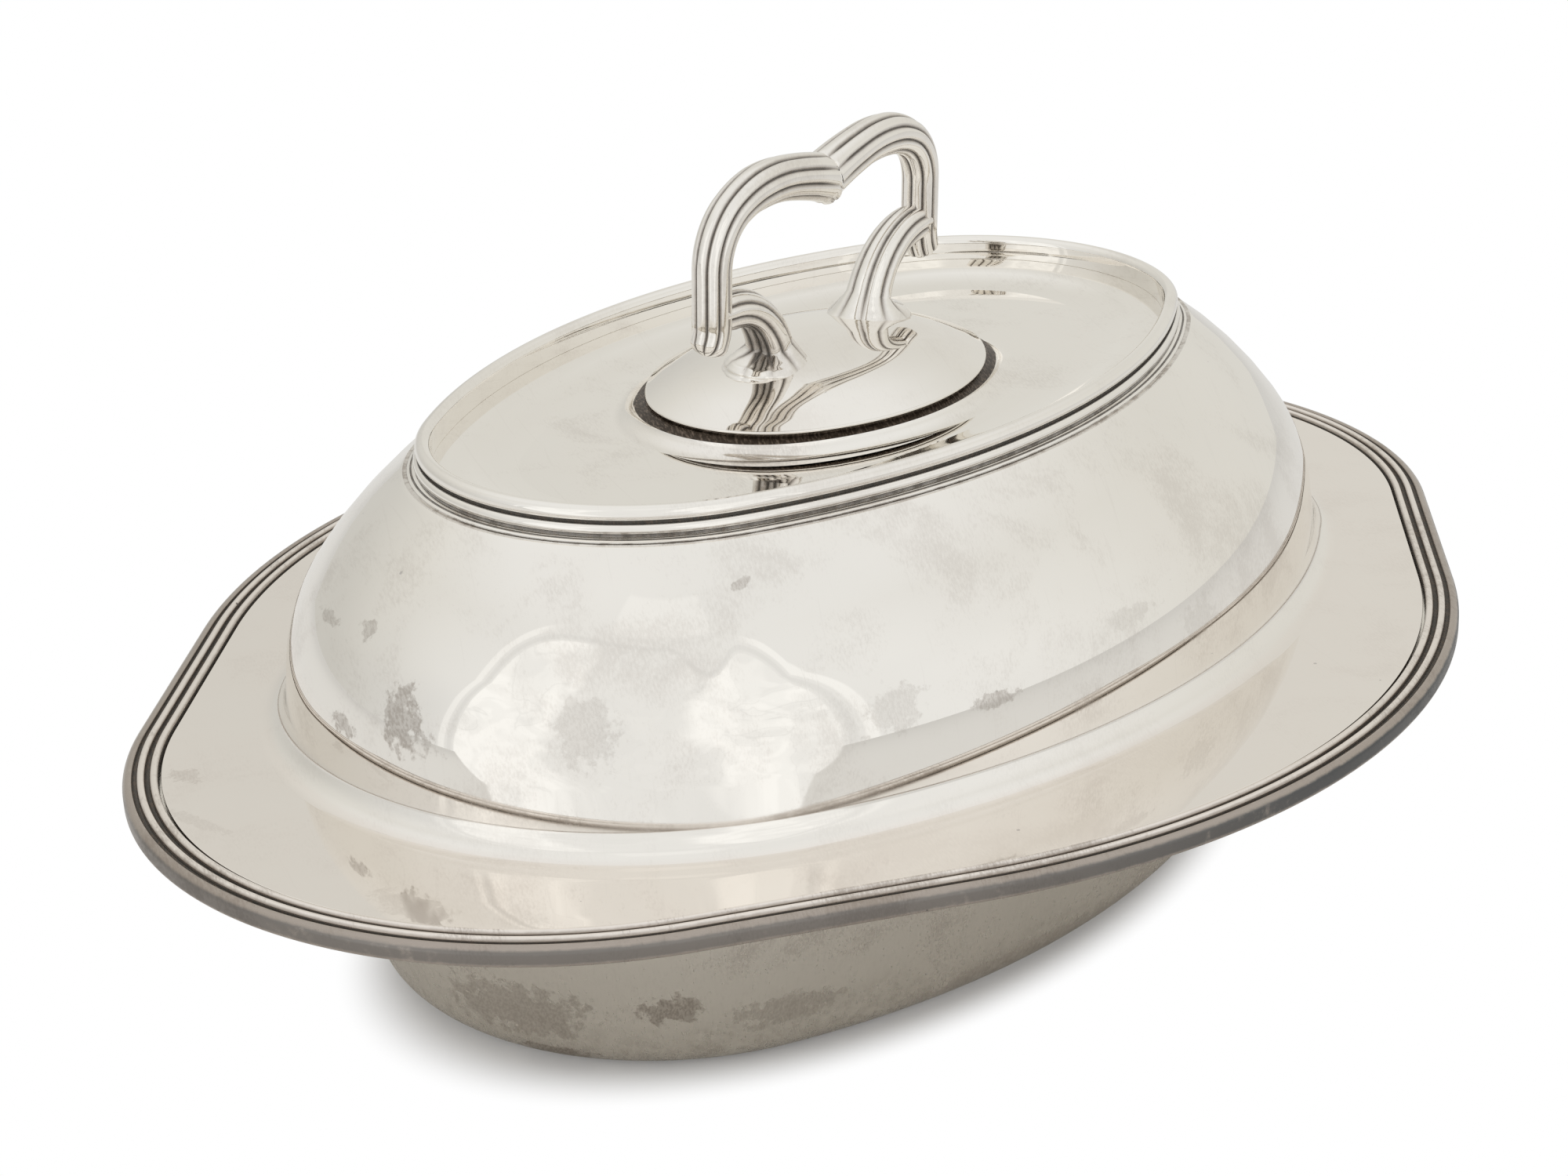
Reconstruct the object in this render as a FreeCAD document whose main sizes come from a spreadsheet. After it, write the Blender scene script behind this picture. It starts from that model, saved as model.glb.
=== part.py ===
"""A covered vegetable dish of silver-plated metal.

An oval well with an eight-sided flange stands flat on the table. A reeded border is
soldered round that flange and makes a shallow seat, and the domed cover drops into it.
The cover carries an oval foot ring round its sunk top, and a low plinth for the handle.
The handle has two fluted scrolls on two feet on a domed oval disc. A stud with a cross
pin goes down from the disc through a keyhole and locks under the cover by a quarter turn.

The origin is the middle of the dish on the table, X runs along the length, Z is up.
"""

import FreeCAD, Part
import Sketcher
import math
import os
import re

SHEET = "Sizes"

SIZES = {
    # Sheet metal and the seat of the cover in the dish
    "dish_thickness": 1.5,
    "cover_thickness": 1.4,
    "seat_gap": 0.1,
    "rim_height": 50.0,
    "lap": 2.0,
    "cut_depth": 1.0,
    # Outline of the cover's flange: bowed ends and sides with straight diagonals
    "plate_half_length": 146.6,
    "plate_half_width": 114.3,
    # Reeded border round that outline
    "border_gap": 0.5,
    "flange_reach": 4.8,
    "reed_width": 1.9,
    "reed_groove": 0.4,
    "reed_radius": 1.0,
    "reed_depth": 0.6,
    "crown_rise": 0.1,
    "roll_width": 1.8,
    "roll_radius": 1.6,
    "roll_drop": 1.0,
    "lip_radius": 0.8,
    "border_lip": 0.3,
    # Well of the dish: how far the sharp oval where its wall would meet the table lies
    # inside the flange's outline, at the ends and at the sides
    "base_end_inset": 42.3,
    "base_side_inset": 46.3,
    "wall_spread": 15.0,
    "floor_corner": 9.0,
    "rim_bend": 4.0,
    # Dome of the cover, from the oval of the foot ring, which lies inside the same outline
    "ring_end_inset": 58.1,
    "dome_reach": 29.3,
    "flange_bend": 5.5,
    "lower_wall_radius": 38.0,
    "lower_wall_turn": 35.0,
    "upper_wall_radius": 75.0,
    "upper_wall_turn": 54.2,
    "shoulder_radius": 9.0,
    "top_band": 5.5,
    "sink_depth": 2.3,
    # Foot ring on the shoulder of the dome
    "bead_radius": 1.5,
    "bead_turn": 37.0,
    "ring_wall": 3.3,
    "ring_groove": 0.5,
    "ring_groove_depth": 0.25,
    "lower_bead_set": 0.15,
    "lower_bead_radius": 0.95,
    "lower_bead_height": 1.75,
    "lower_bead_foot": 0.15,
    "cove_radius": 2.4,
    "seam_turn": 30.0,
    "seam_height": 0.35,
    "seam_width": 0.5,
    # Plinth under the handle
    "plinth_half_length": 37.6,
    "plinth_margin": 0.3,
    "plinth_height": 2.9,
    "plinth_cove": 2.0,
    "plinth_edge": 0.3,
    # Domed disc of the handle
    "disc_end_overhang": 0.4,
    "disc_side_overhang": 1.4,
    "disc_gap": 0.1,
    "disc_bead": 0.6,
    "disc_rise": 7.0,
    "disc_thickness": 1.4,
    # Fluted scrolls
    "bridge_rise": 30.59,
    "bridge_radius": 4.7,
    "leg_radius": 3.7,
    "tip_radius": 3.2,
    "bridge_bow": 92.0,
    "crown_bow": 34.0,
    "shoulder_bow": 22.8,
    "elbow_bow": 11.2,
    "leg_length": 9.8,
    "tip_bow": 10.0,
    # Feet of the handle
    "foot_height": 1.4,
    "foot_start": 2.6,
    "foot_bow": 16.0,
    "ankle_bow": 8.0,
    "foot_drop": 3.0,
    "foot_neck": 3.5,
    "foot_base": 8.9,
    # Stud, cross pin and lock plate
    "stud_radius": 4.0,
    "stud_clearance": 0.06,
    "stud_tail": 2.2,
    "pin_radius": 1.5,
    "pin_reach": 8.5,
    "pin_clearance": 0.1,
    "slot_clearance": 0.25,
    "lock_radius": 16.0,
    "lock_thickness": 1.8,
    "stop_radius": 1.0,
    "stop_orbit": 6.6,
    "stop_height": 2.4,
    "stop_clearance": 0.3,
    # Handle turned from the long axis and leaning, in degrees, and off the disc's middle
    "handle_turn": 5.2,
    "handle_lean": 3.6,
    "handle_shift": 1.4,
}

# Ratios: end radius of each outline as a share of its half width, and widths as shares
PLATE_END_SHARE = 0.6737
BASE_END_SHARE = 0.8235
RING_END_SHARE = 0.7762
PLINTH_END_SHARE = 0.8562
DISC_END_SHARE = 0.8497
RING_WIDTH_SHARE = 0.4847
SINK_WIDTH_SHARE = 0.3249
# The flange's diagonals face this share of the corner's own slope
CORNER_SHARE = 1.1028

# Domed disc: size of each level as a share of the edge, and its share of the rise
DISC_SHARES = [(1.0, 0.0), (0.92, 0.2), (0.78, 0.5), (0.6, 0.76), (0.4, 0.91), (0.16, 1.0)]
# Radius along a scroll, from the bridge (0) to the leg (1), at the end of each bow
SCROLL_SHARES = [0.0, 0.4, 0.5, 0.85, 1.0, 1.0]
# Spread along a foot, from the neck (0) to the base (1), at even steps
FOOT_SHARES = [0.0, 0.0, 0.02, 0.06, 0.13, 0.25, 0.42, 0.68, 0.95, 1.0, 1.0, 1.0]
# Turns in degrees: the scroll bends down from its slope at the bridge to upright
BRIDGE_SLOPE = 17.4
SCROLL_TURNS = [8.3, 14.6, 20.3, 64.2]
TIP_TURN = 25.0
FOOT_TURN = 71.0
ANKLE_TURN = 19.0
FLUTES = 9
FLUTE_SHARE = 0.9
STEPS_PER_BOW = 3

ORIGIN = FreeCAD.Vector(0, 0, 0)
UP = FreeCAD.Vector(0, 0, 1)
ALONG = FreeCAD.Vector(1, 0, 0)
ACROSS = FreeCAD.Vector(0, 1, 0)

doc = FreeCAD.newDocument("covered_vegetable_dish")
sheet = doc.addObject("Spreadsheet::Sheet", SHEET)
nodes = []


def fill_sheet():
    """Write every driving dimension into the sheet, with its alias."""
    for row, (name, value) in enumerate(SIZES.items(), start=1):
        sheet.set(f"A{row}", name)
        sheet.set(f"B{row}", str(value))
        sheet.setAlias(f"B{row}", name)
    doc.recompute()


def size(expression):
    """Value of an expression in the names of the sheet."""
    return float(sheet.evalExpression(expression))


def linked(expression):
    """The same expression, as a feature outside the sheet has to write it."""

    def full_name(word):
        return f"{SHEET}.{word[0]}" if word[0] in SIZES else word[0]

    return re.sub(r"[a-z][a-z_]+", full_name, expression)


def bind(sketch, constraint_parts, expression):
    """Add a constraint whose value follows the sheet."""
    index = sketch.addConstraint(Sketcher.Constraint(*constraint_parts, size(expression)))
    sketch.setExpression(f"Constraints[{index}]", linked(expression))


def new_body(label):
    """A body for one sub-part, listed for export."""
    body = doc.addObject("PartDesign::Body", label)
    body.Label = label
    nodes.append(body)
    return body


def new_sketch(body, name, plane="XY_Plane", level=None):
    """A sketch on one of the body's own planes, at a level that follows the sheet."""
    sketch = body.newObject("Sketcher::SketchObject", f"{body.Label}_{name}")
    face = [feature for feature in body.Origin.OriginFeatures if feature.Role == plane][0]
    sketch.AttachmentSupport = (face, [""])
    sketch.MapMode = "FlatFace"
    if level is not None:
        sketch.setExpression(".AttachmentOffset.Base.z", linked(level))
    return sketch


def oval(sketch, half_length, half_width, end_radius, grow="0"):
    """An oval of four tangent arcs, moved outwards by grow."""
    length, width, end, more = size(half_length), size(half_width), size(end_radius), size(grow)
    side_radius = (
        f"((({half_length}) - ({end_radius}))^2 + ({half_width})^2 - ({end_radius})^2)"
        f" / (2 * (({half_width}) - ({end_radius})))"
    )
    side = size(side_radius)
    reach = length - end
    depth = side - width
    turn = math.atan2(depth, reach)
    arcs = [
        ((reach, 0), end, -turn, turn),
        ((0, -depth), side, turn, math.pi - turn),
        ((-reach, 0), end, math.pi - turn, math.pi + turn),
        ((0, depth), side, math.pi + turn, 2 * math.pi - turn),
    ]
    first = sketch.GeometryCount
    for centre, radius, start, stop in arcs:
        circle = Part.Circle(FreeCAD.Vector(*centre, 0), UP, radius + more)
        sketch.addGeometry(Part.ArcOfCircle(circle, start, stop), False)
    for step in range(4):
        following = first + (step + 1) % 4
        sketch.addConstraint(Sketcher.Constraint("Tangent", first + step, 2, following, 1))
    for step in (0, 2):
        sketch.addConstraint(Sketcher.Constraint("PointOnObject", first + step, 3, -1))
        bind(sketch, ("Radius", first + step), f"({end_radius}) + ({grow})")
        bind(sketch, ("Radius", first + step + 1), f"({side_radius}) + ({grow})")
    bind(sketch, ("DistanceX", -1, 1, first, 3), f"({half_length}) - ({end_radius})")
    bind(sketch, ("DistanceX", first + 2, 3, -1, 1), f"({half_length}) - ({end_radius})")


def plate_outline(sketch, grow="0"):
    """The soft eight-sided outline: four arcs joined by four straight diagonals."""
    length, width = size("plate_half_length"), size("plate_half_width")
    end, side, more = size(PLATE_END_RADIUS), size(PLATE_SIDE_RADIUS), size(grow)
    reach = length - end
    depth = side - width
    turn = math.asin(size(CORNER_SINE))
    arcs = [
        ((reach, 0), end, -turn, turn),
        ((0, -depth), side, turn, math.pi - turn),
        ((-reach, 0), end, math.pi - turn, math.pi + turn),
        ((0, depth), side, math.pi + turn, 2 * math.pi - turn),
    ]
    curves = []
    for centre, radius, start, stop in arcs:
        circle = Part.Circle(FreeCAD.Vector(*centre, 0), UP, radius + more)
        curves.append(Part.ArcOfCircle(circle, start, stop))
    first = sketch.GeometryCount
    for step in range(4):
        sketch.addGeometry(curves[step], False)
        line = Part.LineSegment(curves[step].EndPoint, curves[(step + 1) % 4].StartPoint)
        sketch.addGeometry(line, False)
    for step in range(8):
        following = first + (step + 1) % 8
        sketch.addConstraint(Sketcher.Constraint("Tangent", first + step, 2, following, 1))
    for step in (0, 4):
        sketch.addConstraint(Sketcher.Constraint("PointOnObject", first + step, 3, -1))
        bind(sketch, ("Radius", first + step), f"{PLATE_END_RADIUS} + ({grow})")
        sketch.addConstraint(Sketcher.Constraint("PointOnObject", first + step + 2, 3, -2))
        bind(sketch, ("Radius", first + step + 2), f"{PLATE_SIDE_RADIUS} + ({grow})")
    bind(sketch, ("DistanceX", -1, 1, first, 3), f"plate_half_length - {PLATE_END_RADIUS}")
    bind(sketch, ("DistanceX", first + 4, 3, -1, 1), f"plate_half_length - {PLATE_END_RADIUS}")
    bind(sketch, ("DistanceY", first + 2, 3, -1, 1), f"{PLATE_SIDE_RADIUS} - plate_half_width")
    bind(sketch, ("DistanceY", -1, 1, first + 6, 3), f"{PLATE_SIDE_RADIUS} - plate_half_width")


def section(sketch, corners):
    """A closed section. Each corner is (x, y), or (x, y, radius, side) where an arc leaves
    it, with side 1 when the arc's centre lies to the left of the way to the next corner."""
    points = [FreeCAD.Vector(size(corner[0]), size(corner[1]), 0) for corner in corners]
    for step, corner in enumerate(corners):
        start, stop = points[step], points[(step + 1) % len(points)]
        if len(corner) == 2:
            sketch.addGeometry(Part.LineSegment(start, stop), False)
            continue
        radius, side = size(corner[2]), corner[3]
        chord = stop - start
        rise = math.sqrt(max(radius ** 2 - (chord.Length / 2) ** 2, 0))
        left = FreeCAD.Vector(-chord.y, chord.x, 0).normalize()
        centre = (start + stop) * 0.5 + left * (rise * side)
        first, last = (start, stop) if side > 0 else (stop, start)
        angles = [math.atan2(point.y - centre.y, point.x - centre.x) for point in (first, last)]
        sketch.addGeometry(Part.ArcOfCircle(Part.Circle(centre, UP, radius), *angles), False)
    for step, corner in enumerate(corners):
        reversed_here = len(corner) == 4 and corner[3] < 0
        following = (step + 1) % len(corners)
        next_corner = corners[following]
        reversed_next = len(next_corner) == 4 and next_corner[3] < 0
        end = 1 if reversed_here else 2
        start = 2 if reversed_next else 1
        sketch.addConstraint(Sketcher.Constraint("Coincident", step, end, following, start))
        start_here = 2 if reversed_here else 1
        bind(sketch, ("DistanceX", -1, 1, step, start_here), corner[0])
        bind(sketch, ("DistanceY", -1, 1, step, start_here), corner[1])
        if len(corner) == 4:
            bind(sketch, ("Radius", step), corner[2])


def pad(body, sketch, name, length):
    """Thicken a flat outline upwards."""
    feature = body.newObject("PartDesign::Pad", f"{body.Label}_{name}")
    feature.Profile = sketch
    feature.setExpression("Length", linked(length))
    doc.recompute()
    return feature


def sweep(body, profile, path, name):
    """Carry a section round a closed flat path."""
    feature = body.newObject("PartDesign::AdditivePipe", f"{body.Label}_{name}")
    feature.Profile = (profile, [""])
    feature.Spine = (path, [f"Edge{step + 1}" for step in range(path.GeometryCount)])
    doc.recompute()
    return feature


def keyhole(body, top, depth):
    """Cut the round hole for the stud and the crosswise slot for its pin, down from top."""
    before = body.Shape.Volume
    hole = new_sketch(body, "stud_hole_outline", level=top)
    hole.addGeometry(Part.Circle(ORIGIN, UP, size("stud_radius + stud_clearance")), False)
    hole.addConstraint(Sketcher.Constraint("Coincident", 0, 3, -1, 1))
    bind(hole, ("Radius", 0), "stud_radius + stud_clearance")
    slot = new_sketch(body, "pin_slot_outline", level=top)
    wide, long = "(pin_radius + slot_clearance)", "(pin_reach + slot_clearance)"
    section(slot, [(f"-{wide}", f"-{long}"), (wide, f"-{long}"), (wide, long), (f"-{wide}", long)])
    for outline, name in ((hole, "stud_hole"), (slot, "pin_slot")):
        pocket = body.newObject("PartDesign::Pocket", f"{body.Label}_{name}")
        pocket.Profile = outline
        pocket.setExpression("Length", linked(depth))
        doc.recompute()
        if body.Shape.Volume >= before:
            raise RuntimeError(f"{pocket.Name} cut nothing")
        before = body.Shape.Volume


# Outlines that follow from the flange's half length and half width
PLATE_END_RADIUS = f"({PLATE_END_SHARE} * plate_half_width)"
CORNER_REACH = f"({CORNER_SHARE} * plate_half_length)"
CORNER_SINE = f"({CORNER_REACH} / sqrt(plate_half_width^2 + {CORNER_REACH}^2))"
CORNER_COSINE = f"(plate_half_width / sqrt(plate_half_width^2 + {CORNER_REACH}^2))"
PLATE_SIDE_RADIUS = (
    f"(({PLATE_END_RADIUS} * (1 - {CORNER_COSINE}) + plate_half_length * {CORNER_COSINE}"
    f" - plate_half_width * {CORNER_SINE}) / (1 - {CORNER_SINE}))"
)
BASE_HALF_LENGTH = "(plate_half_length - base_end_inset)"
BASE_HALF_WIDTH = "(plate_half_width - base_side_inset)"
BASE = (BASE_HALF_LENGTH, BASE_HALF_WIDTH, f"({BASE_END_SHARE} * {BASE_HALF_WIDTH})")
RING_HALF_LENGTH = "(plate_half_length - ring_end_inset)"
RING_HALF_WIDTH = f"({RING_WIDTH_SHARE} * plate_half_width)"
RING = (RING_HALF_LENGTH, RING_HALF_WIDTH, f"({RING_END_SHARE} * {RING_HALF_WIDTH})")

# Levels that several pieces share, and the run of the cover's sheet over its shoulder
FLANGE_TOP = "(rim_height - cover_thickness - seat_gap)"
FLANGE_UNDER = f"({FLANGE_TOP} - dish_thickness)"
DOME_TOP = (
    "(rim_height + flange_bend + lower_wall_radius * sin(lower_wall_turn)"
    " + upper_wall_radius * (sin(upper_wall_turn) - sin(lower_wall_turn))"
    " + shoulder_radius * (1 - sin(upper_wall_turn)))"
)
SHOULDER = (
    f"({RING_HALF_LENGTH} + dome_reach - lower_wall_radius * (1 - cos(lower_wall_turn))"
    " - upper_wall_radius * (cos(lower_wall_turn) - cos(upper_wall_turn))"
    " - shoulder_radius * cos(upper_wall_turn))"
)
SINK_WIDTH = f"({SINK_WIDTH_SHARE} * {RING_HALF_WIDTH})"
SUNK_TOP = f"({DOME_TOP} - sink_depth)"
PLINTH_TOP = f"({SUNK_TOP} + plinth_height)"
DISC_UNDER = f"({PLINTH_TOP} + disc_gap)"
DISC_EDGE = f"({DISC_UNDER} + 2 * disc_bead)"
LOCK_TOP = f"({SUNK_TOP} - cover_thickness)"
PLINTH_HALF_WIDTH = (
    f"({RING_HALF_WIDTH} + {SHOULDER} - {RING_HALF_LENGTH} - top_band - {SINK_WIDTH}"
    " - plinth_cove - plinth_margin)"
)
PLINTH = ("plinth_half_length", PLINTH_HALF_WIDTH, f"({PLINTH_END_SHARE} * {PLINTH_HALF_WIDTH})")
DISC_HALF_LENGTH = "(plinth_half_length + disc_end_overhang)"
DISC_HALF_WIDTH = f"({PLINTH_HALF_WIDTH} + disc_side_overhang)"
DISC = (DISC_HALF_LENGTH, DISC_HALF_WIDTH, f"({DISC_END_SHARE} * {DISC_HALF_WIDTH})")
BRIDGE_LEVEL = f"({DISC_EDGE} + disc_rise + bridge_rise)"
PIN_LEVEL = f"({LOCK_TOP} - lock_thickness - pin_clearance - pin_radius)"


def dish_bowl():
    """Flat-bottomed oval well with a sloping wall, and the flange round it."""
    body = new_body("dish_bowl")
    slant = f"sqrt({FLANGE_UNDER}^2 + wall_spread^2)"
    sine, cosine = f"({FLANGE_UNDER} / {slant})", f"(wall_spread / {slant})"
    half_turn = f"(({slant} - wall_spread) / {FLANGE_UNDER})"
    corner, bend = f"floor_corner * {half_turn}", f"rim_bend * {half_turn}"

    floor = new_sketch(body, "floor_outline")
    oval(floor, *BASE, grow=f"-{corner} - lap / 2")
    pad(body, floor, "floor", "dish_thickness")

    path = new_sketch(body, "wall_path")
    oval(path, *BASE)
    wall = new_sketch(body, "wall_section", "XZ_Plane")
    flat_end = f"{BASE_HALF_LENGTH} - {corner}"
    low = (f"{BASE_HALF_LENGTH} + {corner} * {cosine}", f"{corner} * {sine}")
    high = (f"{BASE_HALF_LENGTH} + wall_spread - {bend} * {cosine}", f"{FLANGE_UNDER} - {bend} * {sine}")
    flange = f"{BASE_HALF_LENGTH} + wall_spread + {bend}"
    inward, upward = f"- dish_thickness * {sine}", f"+ dish_thickness * {cosine}"
    section(wall, [
        (f"{flat_end} - lap", "0"),
        (flat_end, "0", "floor_corner", 1),
        low,
        (*high, "rim_bend", -1),
        (flange, FLANGE_UNDER),
        (f"{flange} + lap", FLANGE_UNDER),
        (f"{flange} + lap", FLANGE_TOP),
        (flange, FLANGE_TOP, "rim_bend + dish_thickness", 1),
        (high[0] + inward, high[1] + upward),
        (low[0] + inward, low[1] + upward, "floor_corner - dish_thickness", -1),
        (flat_end, "dish_thickness"),
        (f"{flat_end} - lap", "dish_thickness"),
    ])
    sweep(body, wall, path, "wall")

    rim = new_sketch(body, "flange_outline", level=FLANGE_UNDER)
    plate_outline(rim, grow="border_gap + flange_reach")
    oval(rim, *BASE, grow=f"wall_spread + {bend} + lap / 2")
    pad(body, rim, "flange", "dish_thickness")


def dish_border():
    """Reeded border: two narrow reeds and a broad outer roll, with a seat for the flange."""
    body = new_body("dish_border")
    path = new_sketch(body, "path")
    plate_outline(path)
    profile = new_sketch(body, "section", "XZ_Plane")
    inner = "plate_half_length + border_gap"
    crown = "rim_height + crown_rise"
    pitch = "(reed_width + reed_groove)"
    outer = f"{inner} + 2 * {pitch} + roll_width"
    bottom = f"{FLANGE_UNDER} - border_lip"
    corners = [(inner, FLANGE_TOP)]
    for reed in ("0", "1"):
        start = f"{inner} + {reed} * {pitch}"
        corners += [
            (start, crown, "reed_radius", -1),
            (f"{start} + reed_width", crown),
            (f"{start} + reed_width", f"{crown} - reed_depth"),
            (f"{start} + {pitch}", f"{crown} - reed_depth"),
        ]
    corners += [
        (f"{inner} + 2 * {pitch}", crown, "roll_radius", -1),
        (outer, f"{crown} - roll_drop"),
        (outer, f"{bottom} + lip_radius", "lip_radius", -1),
        (f"{outer} - lip_radius", bottom),
        (f"{inner} + flange_reach", bottom),
        (f"{inner} + flange_reach", FLANGE_TOP),
    ]
    section(profile, corners)
    sweep(body, profile, path, "reeds")


def cover_dome():
    """Cover in one sheet: flange, bulging wall, shoulder and gently sunk top."""
    body = new_body("cover_dome")
    inner_edge = f"{SHOULDER} - top_band - {SINK_WIDTH}"

    top = new_sketch(body, "top_outline", level=f"{SUNK_TOP} - cover_thickness")
    oval(top, *RING, grow=f"{inner_edge} - {RING_HALF_LENGTH} - lap / 2")
    pad(body, top, "top", "cover_thickness")

    path = new_sketch(body, "wall_path")
    oval(path, *RING)
    wall = new_sketch(body, "wall_section", "XZ_Plane")
    foot = f"{RING_HALF_LENGTH} + dome_reach"
    foot_level = "rim_height + flange_bend"
    join = (
        f"{foot} - lower_wall_radius * (1 - cos(lower_wall_turn))",
        f"{foot_level} + lower_wall_radius * sin(lower_wall_turn)",
    )
    brow = (
        f"{SHOULDER} + shoulder_radius * cos(upper_wall_turn)",
        f"{DOME_TOP} - shoulder_radius * (1 - sin(upper_wall_turn))",
    )
    join_inside = (
        f"{join[0]} - cover_thickness * cos(lower_wall_turn)",
        f"{join[1]} - cover_thickness * sin(lower_wall_turn)",
    )
    brow_inside = (
        f"{brow[0]} - cover_thickness * cos(upper_wall_turn)",
        f"{brow[1]} - cover_thickness * sin(upper_wall_turn)",
    )
    flange = f"{foot} + flange_bend"
    section(wall, [
        (f"{flange} + lap", "rim_height"),
        (flange, "rim_height", "flange_bend", -1),
        (foot, foot_level, "lower_wall_radius", 1),
        (*join, "upper_wall_radius", 1),
        (*brow, "shoulder_radius", 1),
        (SHOULDER, DOME_TOP),
        (f"{SHOULDER} - top_band", DOME_TOP),
        (inner_edge, SUNK_TOP),
        (f"{inner_edge} - lap", SUNK_TOP),
        (f"{inner_edge} - lap", f"{SUNK_TOP} - cover_thickness"),
        (inner_edge, f"{SUNK_TOP} - cover_thickness"),
        (f"{SHOULDER} - top_band", f"{DOME_TOP} - cover_thickness"),
        (SHOULDER, f"{DOME_TOP} - cover_thickness", "shoulder_radius - cover_thickness", -1),
        (*brow_inside, "upper_wall_radius - cover_thickness", -1),
        (*join_inside, "lower_wall_radius - cover_thickness", -1),
        (f"{foot} - cover_thickness", foot_level, "flange_bend + cover_thickness", 1),
        (flange, "rim_height - cover_thickness"),
        (f"{flange} + lap", "rim_height - cover_thickness"),
    ])
    sweep(body, wall, path, "wall")

    rim = new_sketch(body, "flange_outline", level="rim_height - cover_thickness")
    plate_outline(rim)
    oval(rim, *RING, grow="dome_reach + flange_bend + lap / 2")
    pad(body, rim, "flange", "cover_thickness")
    keyhole(body, f"{SUNK_TOP} + cut_depth", "cover_thickness + 2 * cut_depth")


def cover_foot_ring():
    """Foot ring: plain inside, and outside two beads over a cove and a seam lip."""
    body = new_body("cover_foot_ring")
    path = new_sketch(body, "path")
    oval(path, *RING)
    profile = new_sketch(body, "section", "XZ_Plane")
    crest = f"{DOME_TOP} + ring_wall"
    bead_end = (f"{RING_HALF_LENGTH} + bead_radius * cos(bead_turn)", f"{crest} - bead_radius * sin(bead_turn)")
    groove_level = f"{bead_end[1]} - ring_groove"
    lower_start = f"{bead_end[0]} + lower_bead_set"
    lower_end = (f"{lower_start} + lower_bead_foot", f"{groove_level} - lower_bead_height")
    seam = (
        f"{SHOULDER} + shoulder_radius * sin(seam_turn)",
        f"{DOME_TOP} - shoulder_radius * (1 - cos(seam_turn))",
    )
    section(profile, [
        (f"{RING_HALF_LENGTH} - bead_radius", DOME_TOP),
        (f"{RING_HALF_LENGTH} - bead_radius", crest, "bead_radius", -1),
        (RING_HALF_LENGTH, f"{crest} + bead_radius", "bead_radius", -1),
        bead_end,
        (f"{bead_end[0]} - ring_groove_depth", bead_end[1]),
        (f"{bead_end[0]} - ring_groove_depth", groove_level),
        (lower_start, groove_level, "lower_bead_radius", -1),
        (*lower_end, "cove_radius", 1),
        (f"{seam[0]} - seam_width", f"{seam[1]} + seam_height"),
        (seam[0], f"{seam[1]} + seam_height"),
        (*seam, "shoulder_radius", 1),
        (SHOULDER, DOME_TOP),
    ])
    sweep(body, profile, path, "beads")


def handle_plinth():
    """Low oval plinth with a hollow curve round its foot."""
    body = new_body("handle_plinth")
    block = new_sketch(body, "outline", level=SUNK_TOP)
    oval(block, *PLINTH)
    pad(body, block, "block", "plinth_height")
    path = new_sketch(body, "cove_path")
    oval(path, *PLINTH)
    profile = new_sketch(body, "cove_section", "XZ_Plane")
    section(profile, [
        ("plinth_half_length - lap", SUNK_TOP),
        ("plinth_half_length + plinth_cove", SUNK_TOP),
        ("plinth_half_length + plinth_cove", f"{SUNK_TOP} + plinth_edge", "plinth_cove", -1),
        ("plinth_half_length", f"{SUNK_TOP} + plinth_edge + plinth_cove"),
        ("plinth_half_length - lap", f"{SUNK_TOP} + plinth_edge + plinth_cove"),
    ])
    sweep(body, profile, path, "cove")
    keyhole(body, f"{PLINTH_TOP} + cut_depth", "plinth_height + 2 * cut_depth")


def disc_levels(body, name, shrink, drop, foot):
    """Outlines of the domed disc from its edge to its top."""
    levels = []
    for step, (share, rise_share) in enumerate(DISC_SHARES):
        level = foot if step == 0 else f"{DISC_EDGE} - {drop} + disc_rise * {rise_share}"
        outline = new_sketch(body, f"{name}_{step}", level=level)
        oval(outline, *[f"({measure} - {shrink}) * {share}" for measure in DISC])
        levels.append(outline)
    return levels


def handle_base_disc():
    """Thin domed oval disc with a round bead along its edge."""
    body = new_body("handle_base_disc")
    rim = new_sketch(body, "rim_outline", level=DISC_UNDER)
    oval(rim, *DISC, grow="-disc_bead")
    pad(body, rim, "rim", "2 * disc_bead")

    path = new_sketch(body, "bead_path")
    oval(path, *DISC)
    bead = new_sketch(body, "bead_section", "XZ_Plane")
    section(bead, [
        (f"{DISC_HALF_LENGTH} - lap", DISC_UNDER),
        (f"{DISC_HALF_LENGTH} - disc_bead", DISC_UNDER, "disc_bead", 1),
        (DISC_HALF_LENGTH, f"{DISC_UNDER} + disc_bead", "disc_bead", 1),
        (f"{DISC_HALF_LENGTH} - disc_bead", DISC_EDGE),
        (f"{DISC_HALF_LENGTH} - lap", DISC_EDGE),
    ])
    sweep(body, bead, path, "bead")

    inner_shrink = "(disc_bead + disc_thickness)"
    for kind, name, shrink, drop, foot in (
        ("Additive", "dome", "disc_bead", "0", DISC_EDGE),
        ("Subtractive", "hollow", inner_shrink, "disc_thickness", f"{DISC_UNDER} - cut_depth"),
    ):
        levels = disc_levels(body, name, shrink, drop, foot)
        loft = body.newObject(f"PartDesign::{kind}Loft", f"{body.Label}_{name}")
        loft.Profile = levels[0]
        loft.Sections = levels[1:]
        doc.recompute()
        if name == "dome":
            solid = body.Shape.copy()
    body.Placement = handle_placement()
    body.setExpression(".Placement.Rotation.Angle", linked("handle_turn"))
    return solid


def handle_placement():
    """The handle stands a few degrees off the long axis."""
    return FreeCAD.Placement(ORIGIN, FreeCAD.Rotation(UP, size("handle_turn")))


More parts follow.
